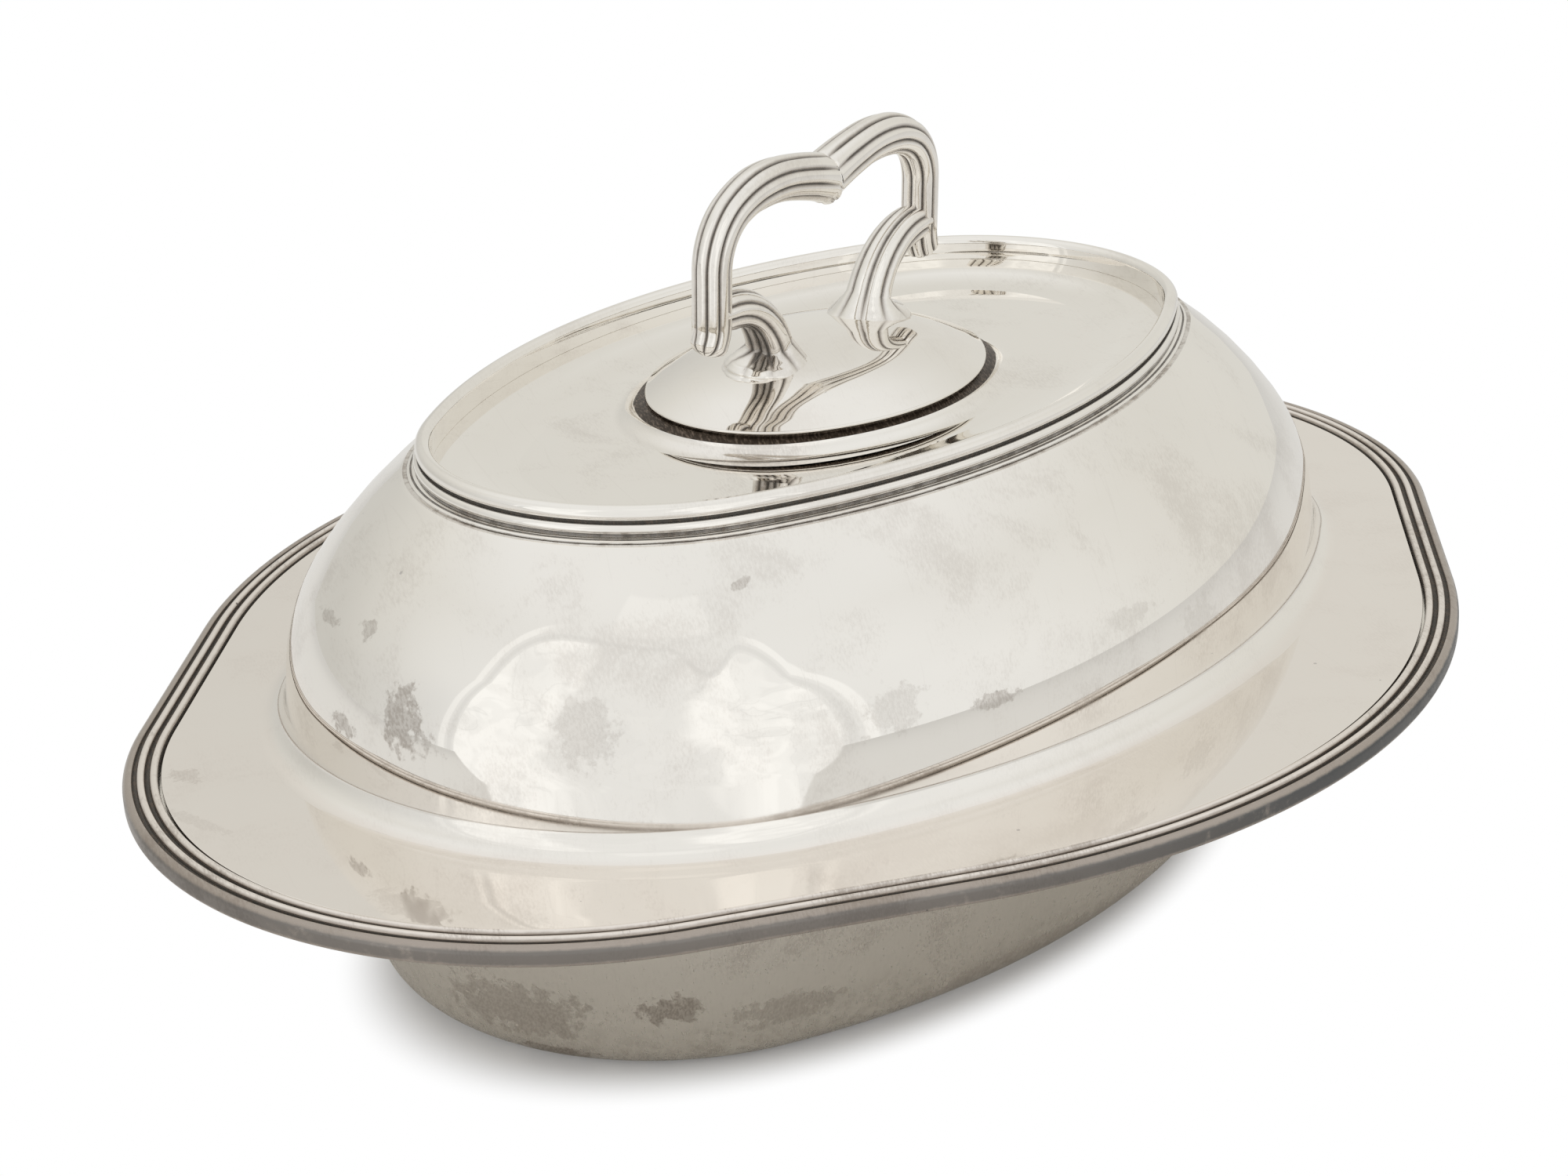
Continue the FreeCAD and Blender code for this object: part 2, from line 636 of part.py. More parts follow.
def walk(start, heading, bows):
    """Stations along a run of bows: (point, heading, bow number and share along it).
    A bow is (radius, turn) with a clockwise turn in degrees, or (length, 0) when straight."""
    stations = [(start, heading, 0.0)]
    place, angle = start, math.radians(heading)
    for number, (reach, turn) in enumerate(bows):
        step_turn = math.radians(turn) / STEPS_PER_BOW
        for step in range(STEPS_PER_BOW):
            if turn == 0:
                place += FreeCAD.Vector(math.cos(angle), 0, math.sin(angle)) * (reach / STEPS_PER_BOW)
            else:
                chord = 2 * reach * math.sin(abs(step_turn) / 2)
                middle = angle - step_turn / 2
                place += FreeCAD.Vector(math.cos(middle), 0, math.sin(middle)) * chord
                angle -= step_turn
            stations.append((place, math.degrees(angle), number + (step + 1) / STEPS_PER_BOW))
    return stations


def fluted_ring(centre, heading, radius, valley_share):
    """A closed section of round flutes, square to the heading in the XZ plane."""
    angle = math.radians(heading)
    side = FreeCAD.Vector(-math.sin(angle), 0, math.cos(angle))
    arcs = []
    for flute in range(FLUTES):
        reaches = []
        for half_step, share in ((-1, valley_share), (0, 1.0), (1, valley_share)):
            around = math.pi * (2 * flute + half_step) / FLUTES
            reaches.append(centre + (side * math.cos(around) + ACROSS * math.sin(around)) * (radius * share))
        arcs.append(Part.Arc(*reaches).toShape())
    return Part.Wire(arcs)


def between(shares, along):
    """Straight-line value between the entries of a list, at a place counted in entries."""
    low = min(int(along), len(shares) - 2)
    part = along - low
    return shares[low] * (1 - part) + shares[low + 1] * part


def scroll_stations():
    """Centre line of one scroll, from the middle of the bridge to its outward tip."""
    start = FreeCAD.Vector(0, 0, size(BRIDGE_LEVEL))
    names = ("bridge_bow", "crown_bow", "shoulder_bow", "elbow_bow")
    bows = [(size(name), turn) for name, turn in zip(names, SCROLL_TURNS)]
    bows += [(size("leg_length"), 0), (size("tip_bow"), -TIP_TURN)]
    return walk(start, BRIDGE_SLOPE, bows)


def scroll_blank(stations):
    """A fluted scroll that runs a little past the middle, where its twin meets it."""
    bridge, leg, tip = size("bridge_radius"), size("leg_radius"), size("tip_radius")
    slope = math.radians(BRIDGE_SLOPE)
    before = stations[0][0] - FreeCAD.Vector(math.cos(slope), 0, math.sin(slope)) * bridge
    rings = [fluted_ring(before, BRIDGE_SLOPE, bridge, FLUTE_SHARE)]
    for place, heading, along in stations:
        past_leg = along - (len(SCROLL_SHARES) - 1)
        if past_leg > 0:
            radius = leg + (tip - leg) * past_leg
        else:
            radius = bridge + (leg - bridge) * between(SCROLL_SHARES, along)
        rings.append(fluted_ring(place, heading, radius, FLUTE_SHARE))
    tube = Part.makeLoft(rings, True, False)
    block = 4 * bridge
    corner = FreeCAD.Vector(-block, -block / 2, size(BRIDGE_LEVEL) - block / 2)
    return tube.cut(Part.makeBox(block, block, block, corner))


def foot_blank(leg_end):
    """One foot: out of the scroll's leg, over and down, spreading to a round base."""
    bows = [
        (size("foot_start"), 0),
        (size("foot_bow"), -FOOT_TURN),
        (size("ankle_bow"), -ANKLE_TURN),
        (size("foot_drop"), 0),
    ]
    neck, base = size("foot_neck"), size("foot_base")
    rings = []
    stations = walk(leg_end + UP * size("foot_height"), 180.0, bows)
    for spread, (place, heading, along) in zip(FOOT_SHARES, stations[1:]):
        valley_share = FLUTE_SHARE + (1 - FLUTE_SHARE) * spread
        rings.append(fluted_ring(place, heading, neck + (base - neck) * spread, valley_share))
    return Part.makeLoft(rings, True, False)


def handle_castings(disc):
    """Two scrolls that meet in the middle, and the two feet that carry them."""
    stations = scroll_stations()
    leg_end = stations[len(SCROLL_SHARES[1:]) * STEPS_PER_BOW][0]
    blanks = (scroll_blank(stations), foot_blank(leg_end))
    disc_top = FreeCAD.Vector(0, 0, size(f"{DISC_EDGE} + disc_rise"))
    lean = FreeCAD.Rotation(ALONG, size("handle_lean"))
    stance = FreeCAD.Placement(ALONG * size("handle_shift"), lean, disc_top)
    for side in ("right", "left"):
        if side == "left":
            blanks = [blank.mirror(ORIGIN, ALONG) for blank in blanks]
        scroll, foot = [blank.transformed(stance.toMatrix(), True) for blank in blanks]
        foot = foot.cut(scroll).cut(disc)
        for name, shape in (("scroll", scroll), ("foot", foot)):
            label = f"handle_{name}_{side}"
            feature = doc.addObject("Part::Feature", label)
            feature.Label = label
            feature.Shape = max(shape.Solids, key=lambda solid: solid.Volume)
            feature.Placement = handle_placement()
            nodes.append(feature)


def bayonet():
    """Stud under the disc, and the pin through its lower end."""
    stud = doc.addObject("Part::Cylinder", "stud_blank")
    stud.setExpression("Radius", linked("stud_radius"))
    bottom = f"({PIN_LEVEL} - pin_radius - stud_tail)"
    top = f"({DISC_EDGE} + disc_rise - disc_thickness)"
    stud.setExpression("Height", linked(f"{top} - {bottom}"))
    stud.setExpression(".Placement.Base.z", linked(bottom))
    for label in ("pin_hole", "bayonet_cross_pin"):
        rod = doc.addObject("Part::Cylinder", label)
        rod.Label = label
        rod.setExpression("Radius", linked("pin_radius"))
        rod.setExpression("Height", linked("2 * pin_reach"))
        rod.Placement.Rotation = FreeCAD.Rotation(ACROSS, 90)
        rod.setExpression(".Placement.Base.x", linked("-pin_reach"))
        rod.setExpression(".Placement.Base.z", linked(PIN_LEVEL))
        doc.recompute()
        if label == "pin_hole":
            drilled = doc.addObject("Part::Cut", "bayonet_stud")
            drilled.Label = "bayonet_stud"
            drilled.Base = stud
            drilled.Tool = rod
            doc.recompute()
            drilled.Placement = handle_placement()
            nodes.append(drilled)
        else:
            turned = handle_placement()
            along = FreeCAD.Vector(-size("pin_reach"), 0, size(PIN_LEVEL))
            rod.setExpression(".Placement.Base.x", None)
            rod.Placement = turned.multiply(FreeCAD.Placement(along, FreeCAD.Rotation(ACROSS, 90)))
            nodes.append(rod)


def lock_plate():
    """Round plate under the cover's top, with the keyhole and two stops for the pin."""
    body = new_body("lock_plate")
    disc = new_sketch(body, "outline", level=f"{LOCK_TOP} - lock_thickness")
    disc.addGeometry(Part.Circle(ORIGIN, UP, size("lock_radius")), False)
    disc.addConstraint(Sketcher.Constraint("Coincident", 0, 3, -1, 1))
    bind(disc, ("Radius", 0), "lock_radius")
    pad(body, disc, "plate", "lock_thickness")
    pegs = new_sketch(body, "stops_outline", level=f"{LOCK_TOP} - lock_thickness - stop_height")
    reach = "(pin_radius + stop_radius + stop_clearance)"
    run = f"sqrt(stop_orbit^2 - {reach}^2)"
    for number, (across, along) in enumerate(((run, f"-{reach}"), (f"-{reach}", run))):
        centre = FreeCAD.Vector(size(across), size(along), 0)
        pegs.addGeometry(Part.Circle(centre, UP, size("stop_radius")), False)
        bind(pegs, ("Radius", number), "stop_radius")
        bind(pegs, ("DistanceX", -1, 1, number, 3), across)
        bind(pegs, ("DistanceY", -1, 1, number, 3), along)
    pad(body, pegs, "stops", "stop_height + lock_thickness / 2")
    keyhole(body, f"{LOCK_TOP} + cut_depth", "lock_thickness + 2 * cut_depth")


def check():
    """Stop if any object failed or any sub-part is not one closed, valid shape."""
    doc.recompute()
    for item in doc.Objects:
        for state in ("Invalid", "Error"):
            if state in item.State:
                raise RuntimeError(f"{item.Name} is in state {state}")
    for node in nodes:
        if node.Shape.isNull() or not node.Shape.isValid():
            raise RuntimeError(f"{node.Label} has no valid shape")
        print(node.Label, len(node.Shape.Solids), round(node.Shape.Volume, 1))


def write():
    """One file for each sub-part, named after it."""
    os.makedirs("parts", exist_ok=True)
    for node in nodes:
        node.Shape.exportStep(os.path.join("parts", f"{node.Label}.step"))


fill_sheet()
dish_bowl()
dish_border()
cover_dome()
cover_foot_ring()
handle_plinth()
lock_plate()
disc_solid = handle_base_disc()
handle_castings(disc_solid)
bayonet()
check()
write()
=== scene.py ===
"""Covered vegetable dish of silver-plated metal: its surfaces, finishes and studio.

Each operator makes one piece, or one group of like pieces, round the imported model, and
gives it its finish. Sizes are in metres. A section is drawn as (out, up) points, where
out is measured outwards from the outline that carries the section.
"""

import math

import bpy
from bpy.props import FloatProperty, FloatVectorProperty, IntProperty, PointerProperty
from bpy.types import Operator, Panel, PropertyGroup
from mathutils import Matrix, Vector, geometry
from mathutils.bvhtree import BVHTree


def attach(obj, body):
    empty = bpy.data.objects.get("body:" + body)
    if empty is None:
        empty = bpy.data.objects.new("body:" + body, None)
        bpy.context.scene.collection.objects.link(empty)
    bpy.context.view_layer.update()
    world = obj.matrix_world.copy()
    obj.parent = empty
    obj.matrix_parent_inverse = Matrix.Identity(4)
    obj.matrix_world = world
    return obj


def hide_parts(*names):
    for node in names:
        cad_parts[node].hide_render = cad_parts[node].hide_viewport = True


bl_info = {
    "name": "Covered vegetable dish",
    "version": (1, 0, 0),
    "blender": (4, 5, 0),
    "location": "3D View > Sidebar > Dish",
    "description": "Surfaces, finishes and studio for a covered vegetable dish",
    "category": "Object",
}

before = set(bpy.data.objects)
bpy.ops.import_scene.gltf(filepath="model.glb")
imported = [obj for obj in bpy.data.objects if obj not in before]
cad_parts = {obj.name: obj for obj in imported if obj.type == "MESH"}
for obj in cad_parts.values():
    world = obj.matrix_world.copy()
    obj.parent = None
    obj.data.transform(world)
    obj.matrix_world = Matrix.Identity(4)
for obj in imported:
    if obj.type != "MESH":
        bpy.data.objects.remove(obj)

MM = 0.001
OVAL_STEP = 1.5 * MM
ARC_STEP = math.radians(6)
EASE_FROM = math.radians(15)
# Points nearer to each other than this are one point
SAME = 1e-7


# Properties


def length(name, millimetres, description):
    """A length, given here in millimetres and kept in metres."""
    return FloatProperty(
        name=name, description=description, default=millimetres * MM,
        unit="LENGTH", subtype="DISTANCE", precision=5,
    )


def turn(name, degrees, description):
    """An angle, given here in degrees."""
    return FloatProperty(
        name=name, description=description, default=math.radians(degrees), unit="ROTATION", subtype="ANGLE"
    )


def share(name, value, description):
    """A plain share or factor."""
    return FloatProperty(
        name=name, description=description, default=value, subtype="FACTOR", min=0.0, soft_max=1.0
    )


def whole(name, value, least, description):
    """A whole number."""
    return IntProperty(name=name, description=description, default=value, min=least)


def colour(name, value, description):
    """A linear colour."""
    return FloatVectorProperty(
        name=name, description=description, default=value, subtype="COLOR", size=3, min=0.0, max=1.0
    )


class DishOutline(PropertyGroup):
    """Eight-sided outline of the cover's flange."""

    half_length: length("Half length", 146.6, "From the middle to the flange's end")
    half_width: length("Half width", 114.3, "From the middle to the flange's side")
    end_radius: length("End radius", 77.0, "Radius of the bowed ends")
    side_radius: length("Side radius", 130.0, "Radius of the bowed sides")


class DishWell(PropertyGroup):
    """Well and flange of the dish."""

    metal: length("Metal", 1.5, "Thickness of the sheet")
    half_length: length("Half length", 104.3, "Half length of the oval where the wall would meet the table")
    half_width: length("Half width", 68.0, "Half width of that oval")
    end_radius: length("End radius", 56.0, "Radius of that oval's ends")
    flange_under: length("Flange", 47.0, "Height of the flange's underside")
    wall_spread: length("Wall spread", 15.0, "How far the wall leans out on its way up")
    floor_corner: length("Floor corner", 9.0, "Radius between floor and wall")
    rim_bend: length("Rim bend", 4.0, "Radius between wall and flange")
    flange_reach: length("Flange reach", 5.2, "How far the flange goes past the outline, under the border")


class DishBorder(PropertyGroup):
    """Reeded border of the dish."""

    gap: length("Gap", 0.5, "Play between the cover's flange and the border")
    reach: length("Reach", 4.8, "Width of the seat that lies on the dish's flange")
    reeds: whole("Reeds", 2, 1, "Number of narrow reeds inside the outer roll")
    reed_width: length("Reed width", 1.55, "Width of one reed")
    reed_groove: length("Reed groove", 0.75, "Width of the groove beside a reed")
    reed_round: length("Reed round", 0.75, "Radius of a reed's shoulders")
    reed_height: length("Reed height", 0.62, "Rise of a reed above the crown's level")
    groove_depth: length("Groove depth", 0.55, "Depth of a groove under the crown's level")
    crown: length("Crown", 50.1, "Level from which the reeds rise")
    seat: length("Seat", 48.5, "Level of the dish's flange, on which the border lies")
    roll_width: length("Roll width", 1.8, "Width of the outer roll")
    roll_height: length("Roll height", 0.25, "Rise of the outer roll above the crown's level")
    roll_round: length("Roll round", 1.45, "Radius of the outer roll")
    under: length("Underside", 46.7, "Level of the border's underside")
    lip_round: length("Lip round", 0.75, "Radius of the border's lower lip")


class DishCover(PropertyGroup):
    """Cover: flange, bulging wall, shoulder and gently sunk top."""

    metal: length("Metal", 1.4, "Thickness of the sheet")
    rim: length("Rim", 50.0, "Level of the flange's top")
    half_length: length("Half length", 88.5, "Half length of the foot ring's oval")
    half_width: length("Half width", 55.4, "Half width of the foot ring's oval")
    end_radius: length("End radius", 43.0, "Radius of that oval's ends")
    dome_reach: length("Dome reach", 29.3, "From that oval out to the foot of the wall")
    flange_bend: length("Flange bend", 5.5, "Radius between wall and flange")
    foot_lean: turn("Foot lean", 7.0, "Lean of the wall where it rises from the flange")
    lower_radius: length("Lower wall", 38.0, "Radius that places the end of the wall's lower curve")
    lower_turn: turn("Lower turn", 35.0, "Turn of the lower curve")
    upper_radius: length("Upper wall", 75.0, "Radius of the wall's upper curve")
    upper_turn: turn("Upper turn", 54.2, "Lean of the wall where the shoulder starts")
    shoulder: length("Shoulder", 9.0, "Radius of the shoulder")
    top_band: length("Top band", 5.5, "Level band on which the foot ring stands")
    sink_width: length("Sink width", 11.0, "Width of the slope down to the sunk top")
    sink_depth: length("Sink depth", 2.3, "Depth of the sunk top")


class DishRing(PropertyGroup):
    """Foot ring on the cover."""

    bead: length("Bead", 1.5, "Radius of the upper bead")
    bead_turn: turn("Bead turn", 37.0, "How far the upper bead curls round outside")
    wall: length("Wall", 3.3, "Height of the plain inner wall")
    groove: length("Groove", 0.65, "Height of the groove between the beads")
    groove_depth: length("Groove depth", 0.45, "Depth of that groove")
    lower_bead: length("Lower bead", 0.95, "Radius of the lower bead")
    lower_height: length("Lower bead height", 1.75, "Height of the lower bead")
    set_out: length("Set out", 0.15, "Step from bead to bead, and from bead to cove")
    cove: length("Cove", 2.4, "Radius of the hollow band")
    seam_turn: turn("Seam turn", 30.0, "Where the ring's lip lies on the shoulder")
    seam_height: length("Seam height", 0.35, "Thickness of the ring's lip")
    seam_width: length("Seam width", 0.5, "Width of the ring's lip")


class DishHandle(PropertyGroup):
    """Plinth, disc, scrolls and feet of the handle."""

    plinth_half_length: length("Plinth half length", 37.6, "Half length of the plinth")
    plinth_half_width: length("Plinth half width", 29.2, "Half width of the plinth")
    plinth_end_radius: length("Plinth end radius", 25.0, "Radius of the plinth's ends")
    plinth_height: length("Plinth height", 2.9, "Height of the plinth")
    # The ledge is painted near-black in the plinth's finish: painted shadow under the disc's edge
    ledge_width: length("Ledge width", 2.0, "Width of the dirty ledge under the disc's edge")
    ledge_fall: length("Ledge fall", 0.8, "Fall of that ledge")
    plinth_flare: length("Plinth flare", 6.2, "How far the plinth's hollow foot runs out over the plate")
    stud_hole: length("Stud hole", 4.06, "Radius of the hole for the stud")
    slot_half_width: length("Slot half width", 1.75, "Half width of the slot for the pin")
    slot_reach: length("Slot reach", 8.75, "Half length of the slot for the pin")
    disc_half_length: length("Disc half length", 38.0, "Half length of the disc")
    disc_half_width: length("Disc half width", 30.6, "Half width of the disc")
    disc_end_radius: length("Disc end radius", 26.0, "Radius of the disc's ends")
    disc_gap: length("Disc gap", 0.1, "Play between plinth and disc")
    disc_bead: length("Disc bead", 0.34, "Radius of the bead along the disc's edge")
    disc_edge: length("Disc edge", 1.2, "Height of the disc's edge")
    disc_rise: length("Disc rise", 7.0, "Rise of the disc's dome")
    disc_metal: length("Disc metal", 1.4, "Thickness of the disc")
    bridge_level: length("Bridge level", 136.3, "Height of the middle of the bridge")
    bridge_radius: length("Bridge radius", 4.68, "Radius of a scroll in the middle")
    leg_radius: length("Leg radius", 3.7, "Radius of a scroll at its leg")
    tip_radius: length("Tip radius", 3.5, "Radius of a scroll at its tip")
    joint_lip: length("Joint lip", 0.3, "How far the scrolls' ends stand out where they meet")
    leg_length: length("Leg length", 9.8, "Length of the straight leg")
    foot_height: length("Foot height", 1.4, "Height of a foot's start above the leg's end")
    foot_neck: length("Foot neck", 3.5, "Radius of a foot at its start")
    foot_base: length("Foot base", 8.9, "Radius of a foot on the disc")
    flutes: whole("Flutes", 9, 3, "Number of flutes round a scroll")
    flute_depth: share("Flute depth", 0.15, "Depth of the grooves as a share of the radius")
    hand_turn: turn("Turn", 5.2, "Turn of the handle from the long axis")
    lean: turn("Lean", 3.6, "Lean of the scrolls to one side")
    shift: length("Shift", 1.4, "Place of the scrolls off the disc's middle")


class DishFinish(PropertyGroup):
    """Colours of the plate and of what lies on it."""

    silver: colour("Silver", (0.93, 0.905, 0.862), "Polished plate")
    rosy: colour("Rosy silver", (0.895, 0.838, 0.785), "Plate with a thin warm bloom")
    worn: colour("Worn silver", (0.85, 0.82, 0.755), "Brushed plate of the well")
    tarnish: colour("Tarnish", (0.3, 0.25, 0.21), "Brown-grey tarnish")
    steel: colour("Blue tarnish", (0.1, 0.105, 0.108), "Dark blue-grey tarnish of the border's side")
    # Colour of the grooves' dark fill: old polish and dirt, with painted shade
    grime_and_shade: colour("Grime", (0.1, 0.092, 0.08), "Old polish and dirt in grooves")
    earth: colour("Earth", (0.17, 0.13, 0.1), "Lighter streaks in that dirt")
    # Near-black of the plinth's ledge and of the hollow under the disc's bead: painted shadow of the gap
    # under the disc's edge
    soot_and_shadow: colour("Soot", (0.034, 0.024, 0.016), "Black dirt under the disc")
    brass: colour("Brass", (0.62, 0.45, 0.2), "Hidden fittings")
    gloss: share("Gloss roughness", 0.02, "Roughness of polished plate")
    wave: length("Wave", 0.016, "Height of the slow waves left by hammer and polishing wheel")


class DishStudio(PropertyGroup):
    """Camera and light."""

    azimuth: turn("Azimuth", -50.42, "Direction of view round the dish")
    elevation: turn("Elevation", 22.62, "Camera's angle above the table")
    roll: turn("Roll", -2.5, "Camera's roll")
    distance: length("Distance", 607.98, "From the camera to the aim point")
    aim_height: length("Aim height", 50.0, "Height of the aim point")
    lens: FloatProperty(name="Lens", description="Focal length", default=70.26, unit="CAMERA")
    shift_x: FloatProperty(name="Shift X", description="Sideways shift of the frame", default=-0.02768)
    shift_y: FloatProperty(name="Shift Y", description="Upwards shift of the frame", default=0.00858)
    floor: colour("Floor", (0.8, 0.8, 0.8), "Seamless paper under and behind the dish")
    surround: share("Surround", 0.735, "Strength of the tent behind the dish, as the plate mirrors it")
    near_side: share("Near side", 0.13, "Extra strength overhead and on the camera's side")
    daylight: share("Daylight", 1.0, "Strength of the light that falls on the floor")
    shade: share("Shade", 0.68, "Floor's brightness as the plate mirrors it")
    lamp: share("Lamp", 0.8, "Radiance of the overhead panel")


class DishSettings(PropertyGroup):
    """All sizes and colours of the covered dish."""

    outline: PointerProperty(type=DishOutline)
    well: PointerProperty(type=DishWell)
    border: PointerProperty(type=DishBorder)
    cover: PointerProperty(type=DishCover)
    ring: PointerProperty(type=DishRing)
    handle: PointerProperty(type=DishHandle)
    finish: PointerProperty(type=DishFinish)
    studio: PointerProperty(type=DishStudio)


# Outlines: runs of tangent arcs, read as points with their outward direction


def oval_arcs(half_length, half_width, end_radius):
    """Four tangent arcs of an oval, counterclockwise: (centre x, centre y, radius, start, stop)."""
    reach = half_length - end_radius
    side_radius = (reach**2 + half_width**2 - end_radius**2) / (2 * (half_width - end_radius))
    depth = side_radius - half_width
    corner = math.atan2(depth, reach)
    return four_arcs(reach, depth, end_radius, side_radius, corner)


def eight_sided_arcs(outline):
    """Four bowed arcs of the flange's outline. Straight diagonals join them."""
    reach = outline.half_length - outline.end_radius
    depth = outline.side_radius - outline.half_width
    span = math.hypot(reach, depth)
    corner = math.atan2(depth, reach) + math.acos((outline.side_radius - outline.end_radius) / span)
    return four_arcs(reach, depth, outline.end_radius, outline.side_radius, corner)


def four_arcs(reach, depth, end, side, corner):
    """Arcs round an end, a side, the other end and the other side."""
    return [
        (reach, 0.0, end, -corner, corner),
        (0.0, -depth, side, corner, math.pi - corner),
        (-reach, 0.0, end, math.pi - corner, math.pi + corner),
        (0.0, depth, side, math.pi + corner, 2 * math.pi - corner),
    ]


def ring_of(arcs, step=OVAL_STEP):
    """Points round the arcs: (x, y, outward x, outward y)."""
    ring = []
    for x, y, radius, start, stop in arcs:
        count = max(4, math.ceil(radius * (stop - start) / step))
        for number in range(count + 1):
            angle = start + (stop - start) * number / count
            out = (math.cos(angle), math.sin(angle))
            point = (x + radius * out[0], y + radius * out[1], *out)
            if not ring or math.dist(point[:2], ring[-1][:2]) > SAME:
                ring.append(point)
    if math.dist(ring[0][:2], ring[-1][:2]) < SAME:
        ring.pop()
    return ring


def grown(ring, out):
    """The same ring moved outwards, as plain (x, y) points."""
    return [(x + out * nx, y + out * ny) for x, y, nx, ny in ring]


# Sections


def bowed(start, stop, radius, side):
    """Points of the arc between two points, with its centre to the left for side 1."""
    chord = stop - start
    left = Vector((-chord.y, chord.x)).normalized()
    rise = math.sqrt(max(radius**2 - (chord.length / 2) ** 2, 0.0))
    centre = (start + stop) / 2 + left * (rise * side)
    first = math.atan2(start.y - centre.y, start.x - centre.x)
    last = math.atan2(stop.y - centre.y, stop.x - centre.x)
    sweep = side * ((side * (last - first)) % (2 * math.pi))
    count = max(3, math.ceil(abs(sweep) / ARC_STEP))
    angles = [first + sweep * number / count for number in range(1, count)]
    inner = [centre + Vector((math.cos(angle), math.sin(angle))) * radius for angle in angles]
    return [start, *inner, stop]


def shortened(run, reach):
    """A run of points without its last stretch."""
    run = list(run)
    while reach > 0:
        piece = (run[-1] - run[-2]).length
        if piece > reach:
            run[-1] = run[-1].lerp(run[-2], reach / piece)
            break
        run.pop()
        reach -= piece
    return run


def drawn(corners, ease=0.0, closed=False):
    """Points of a section. A corner is (out, up), or (out, up, radius, side) where an arc
    leaves it. Sharp corners are eased by the given radius."""
    runs = []
    for here, there in zip(corners, corners[1:] + corners[:1] * closed):
        start, stop = Vector(here[:2]), Vector(there[:2])
        runs.append(bowed(start, stop, *here[2:]) if len(here) == 4 else [start, stop])
    lengths = [sum((b - a).length for a, b in zip(run, run[1:])) for run in runs]
    for step in range(len(runs) if closed else len(runs) - 1):
        after = (step + 1) % len(runs)
        arriving, leaving = runs[step][-1] - runs[step][-2], runs[after][1] - runs[after][0]
        bend = arriving.angle(leaving)
        if ease == 0.0 or bend < EASE_FROM:
            continue
        corner = runs[step][-1]
        reach = min(ease * math.tan(bend / 2), 0.4 * lengths[step], 0.4 * lengths[after])
        before = shortened(runs[step], reach)
        runs[after] = shortened(runs[after][::-1], reach)[::-1]
        first, last = before[-1], runs[after][0]
        for part in (0.2, 0.4, 0.6, 0.8):
            before.append(first.lerp(corner, part).lerp(corner.lerp(last, part), part))
        runs[step] = [*before, last.copy()]
    points = []
    for run in runs:
        for point in run:
            if not points or (point - points[-1]).length > SAME:
                points.append(point)
    if closed and (points[0] - points[-1]).length < SAME:
        points.pop()
    return points


def turned_outwards(points):
    """A closed section, counterclockwise, so that its surface faces out of the metal."""
    area = sum(a.x * b.y - b.x * a.y for a, b in zip(points, points[1:] + points[:1]))
    return points if area > 0 else points[::-1]


def dressed(points, closed=False, reach=2.5 * MM):
    """Each point of a section with its outward direction and how deep it lies in a groove."""
    count = len(points)
    result = []
    for here in range(count):
        normal = Vector((0.0, 0.0))
        for start in (here - 1, here):
            if closed or 0 <= start < count - 1:
                piece = points[(start + 1) % count] - points[start % count]
                normal += Vector((piece.y, -piece.x))
        normal.normalize()
        along = Vector((-normal.y, normal.x))
        horizon = [0.0, 0.0]
        for other in points:
            away = other - points[here]
            if SAME < away.length < reach:
                side = int(away.dot(along) > 0)
                rise = math.asin(max(-1.0, min(1.0, away.dot(normal) / away.length)))
                horizon[side] = max(horizon[side], rise)
        result.append((points[here].x, points[here].y, normal.x, normal.y, sum(horizon) / math.pi))
    return result


# Skins


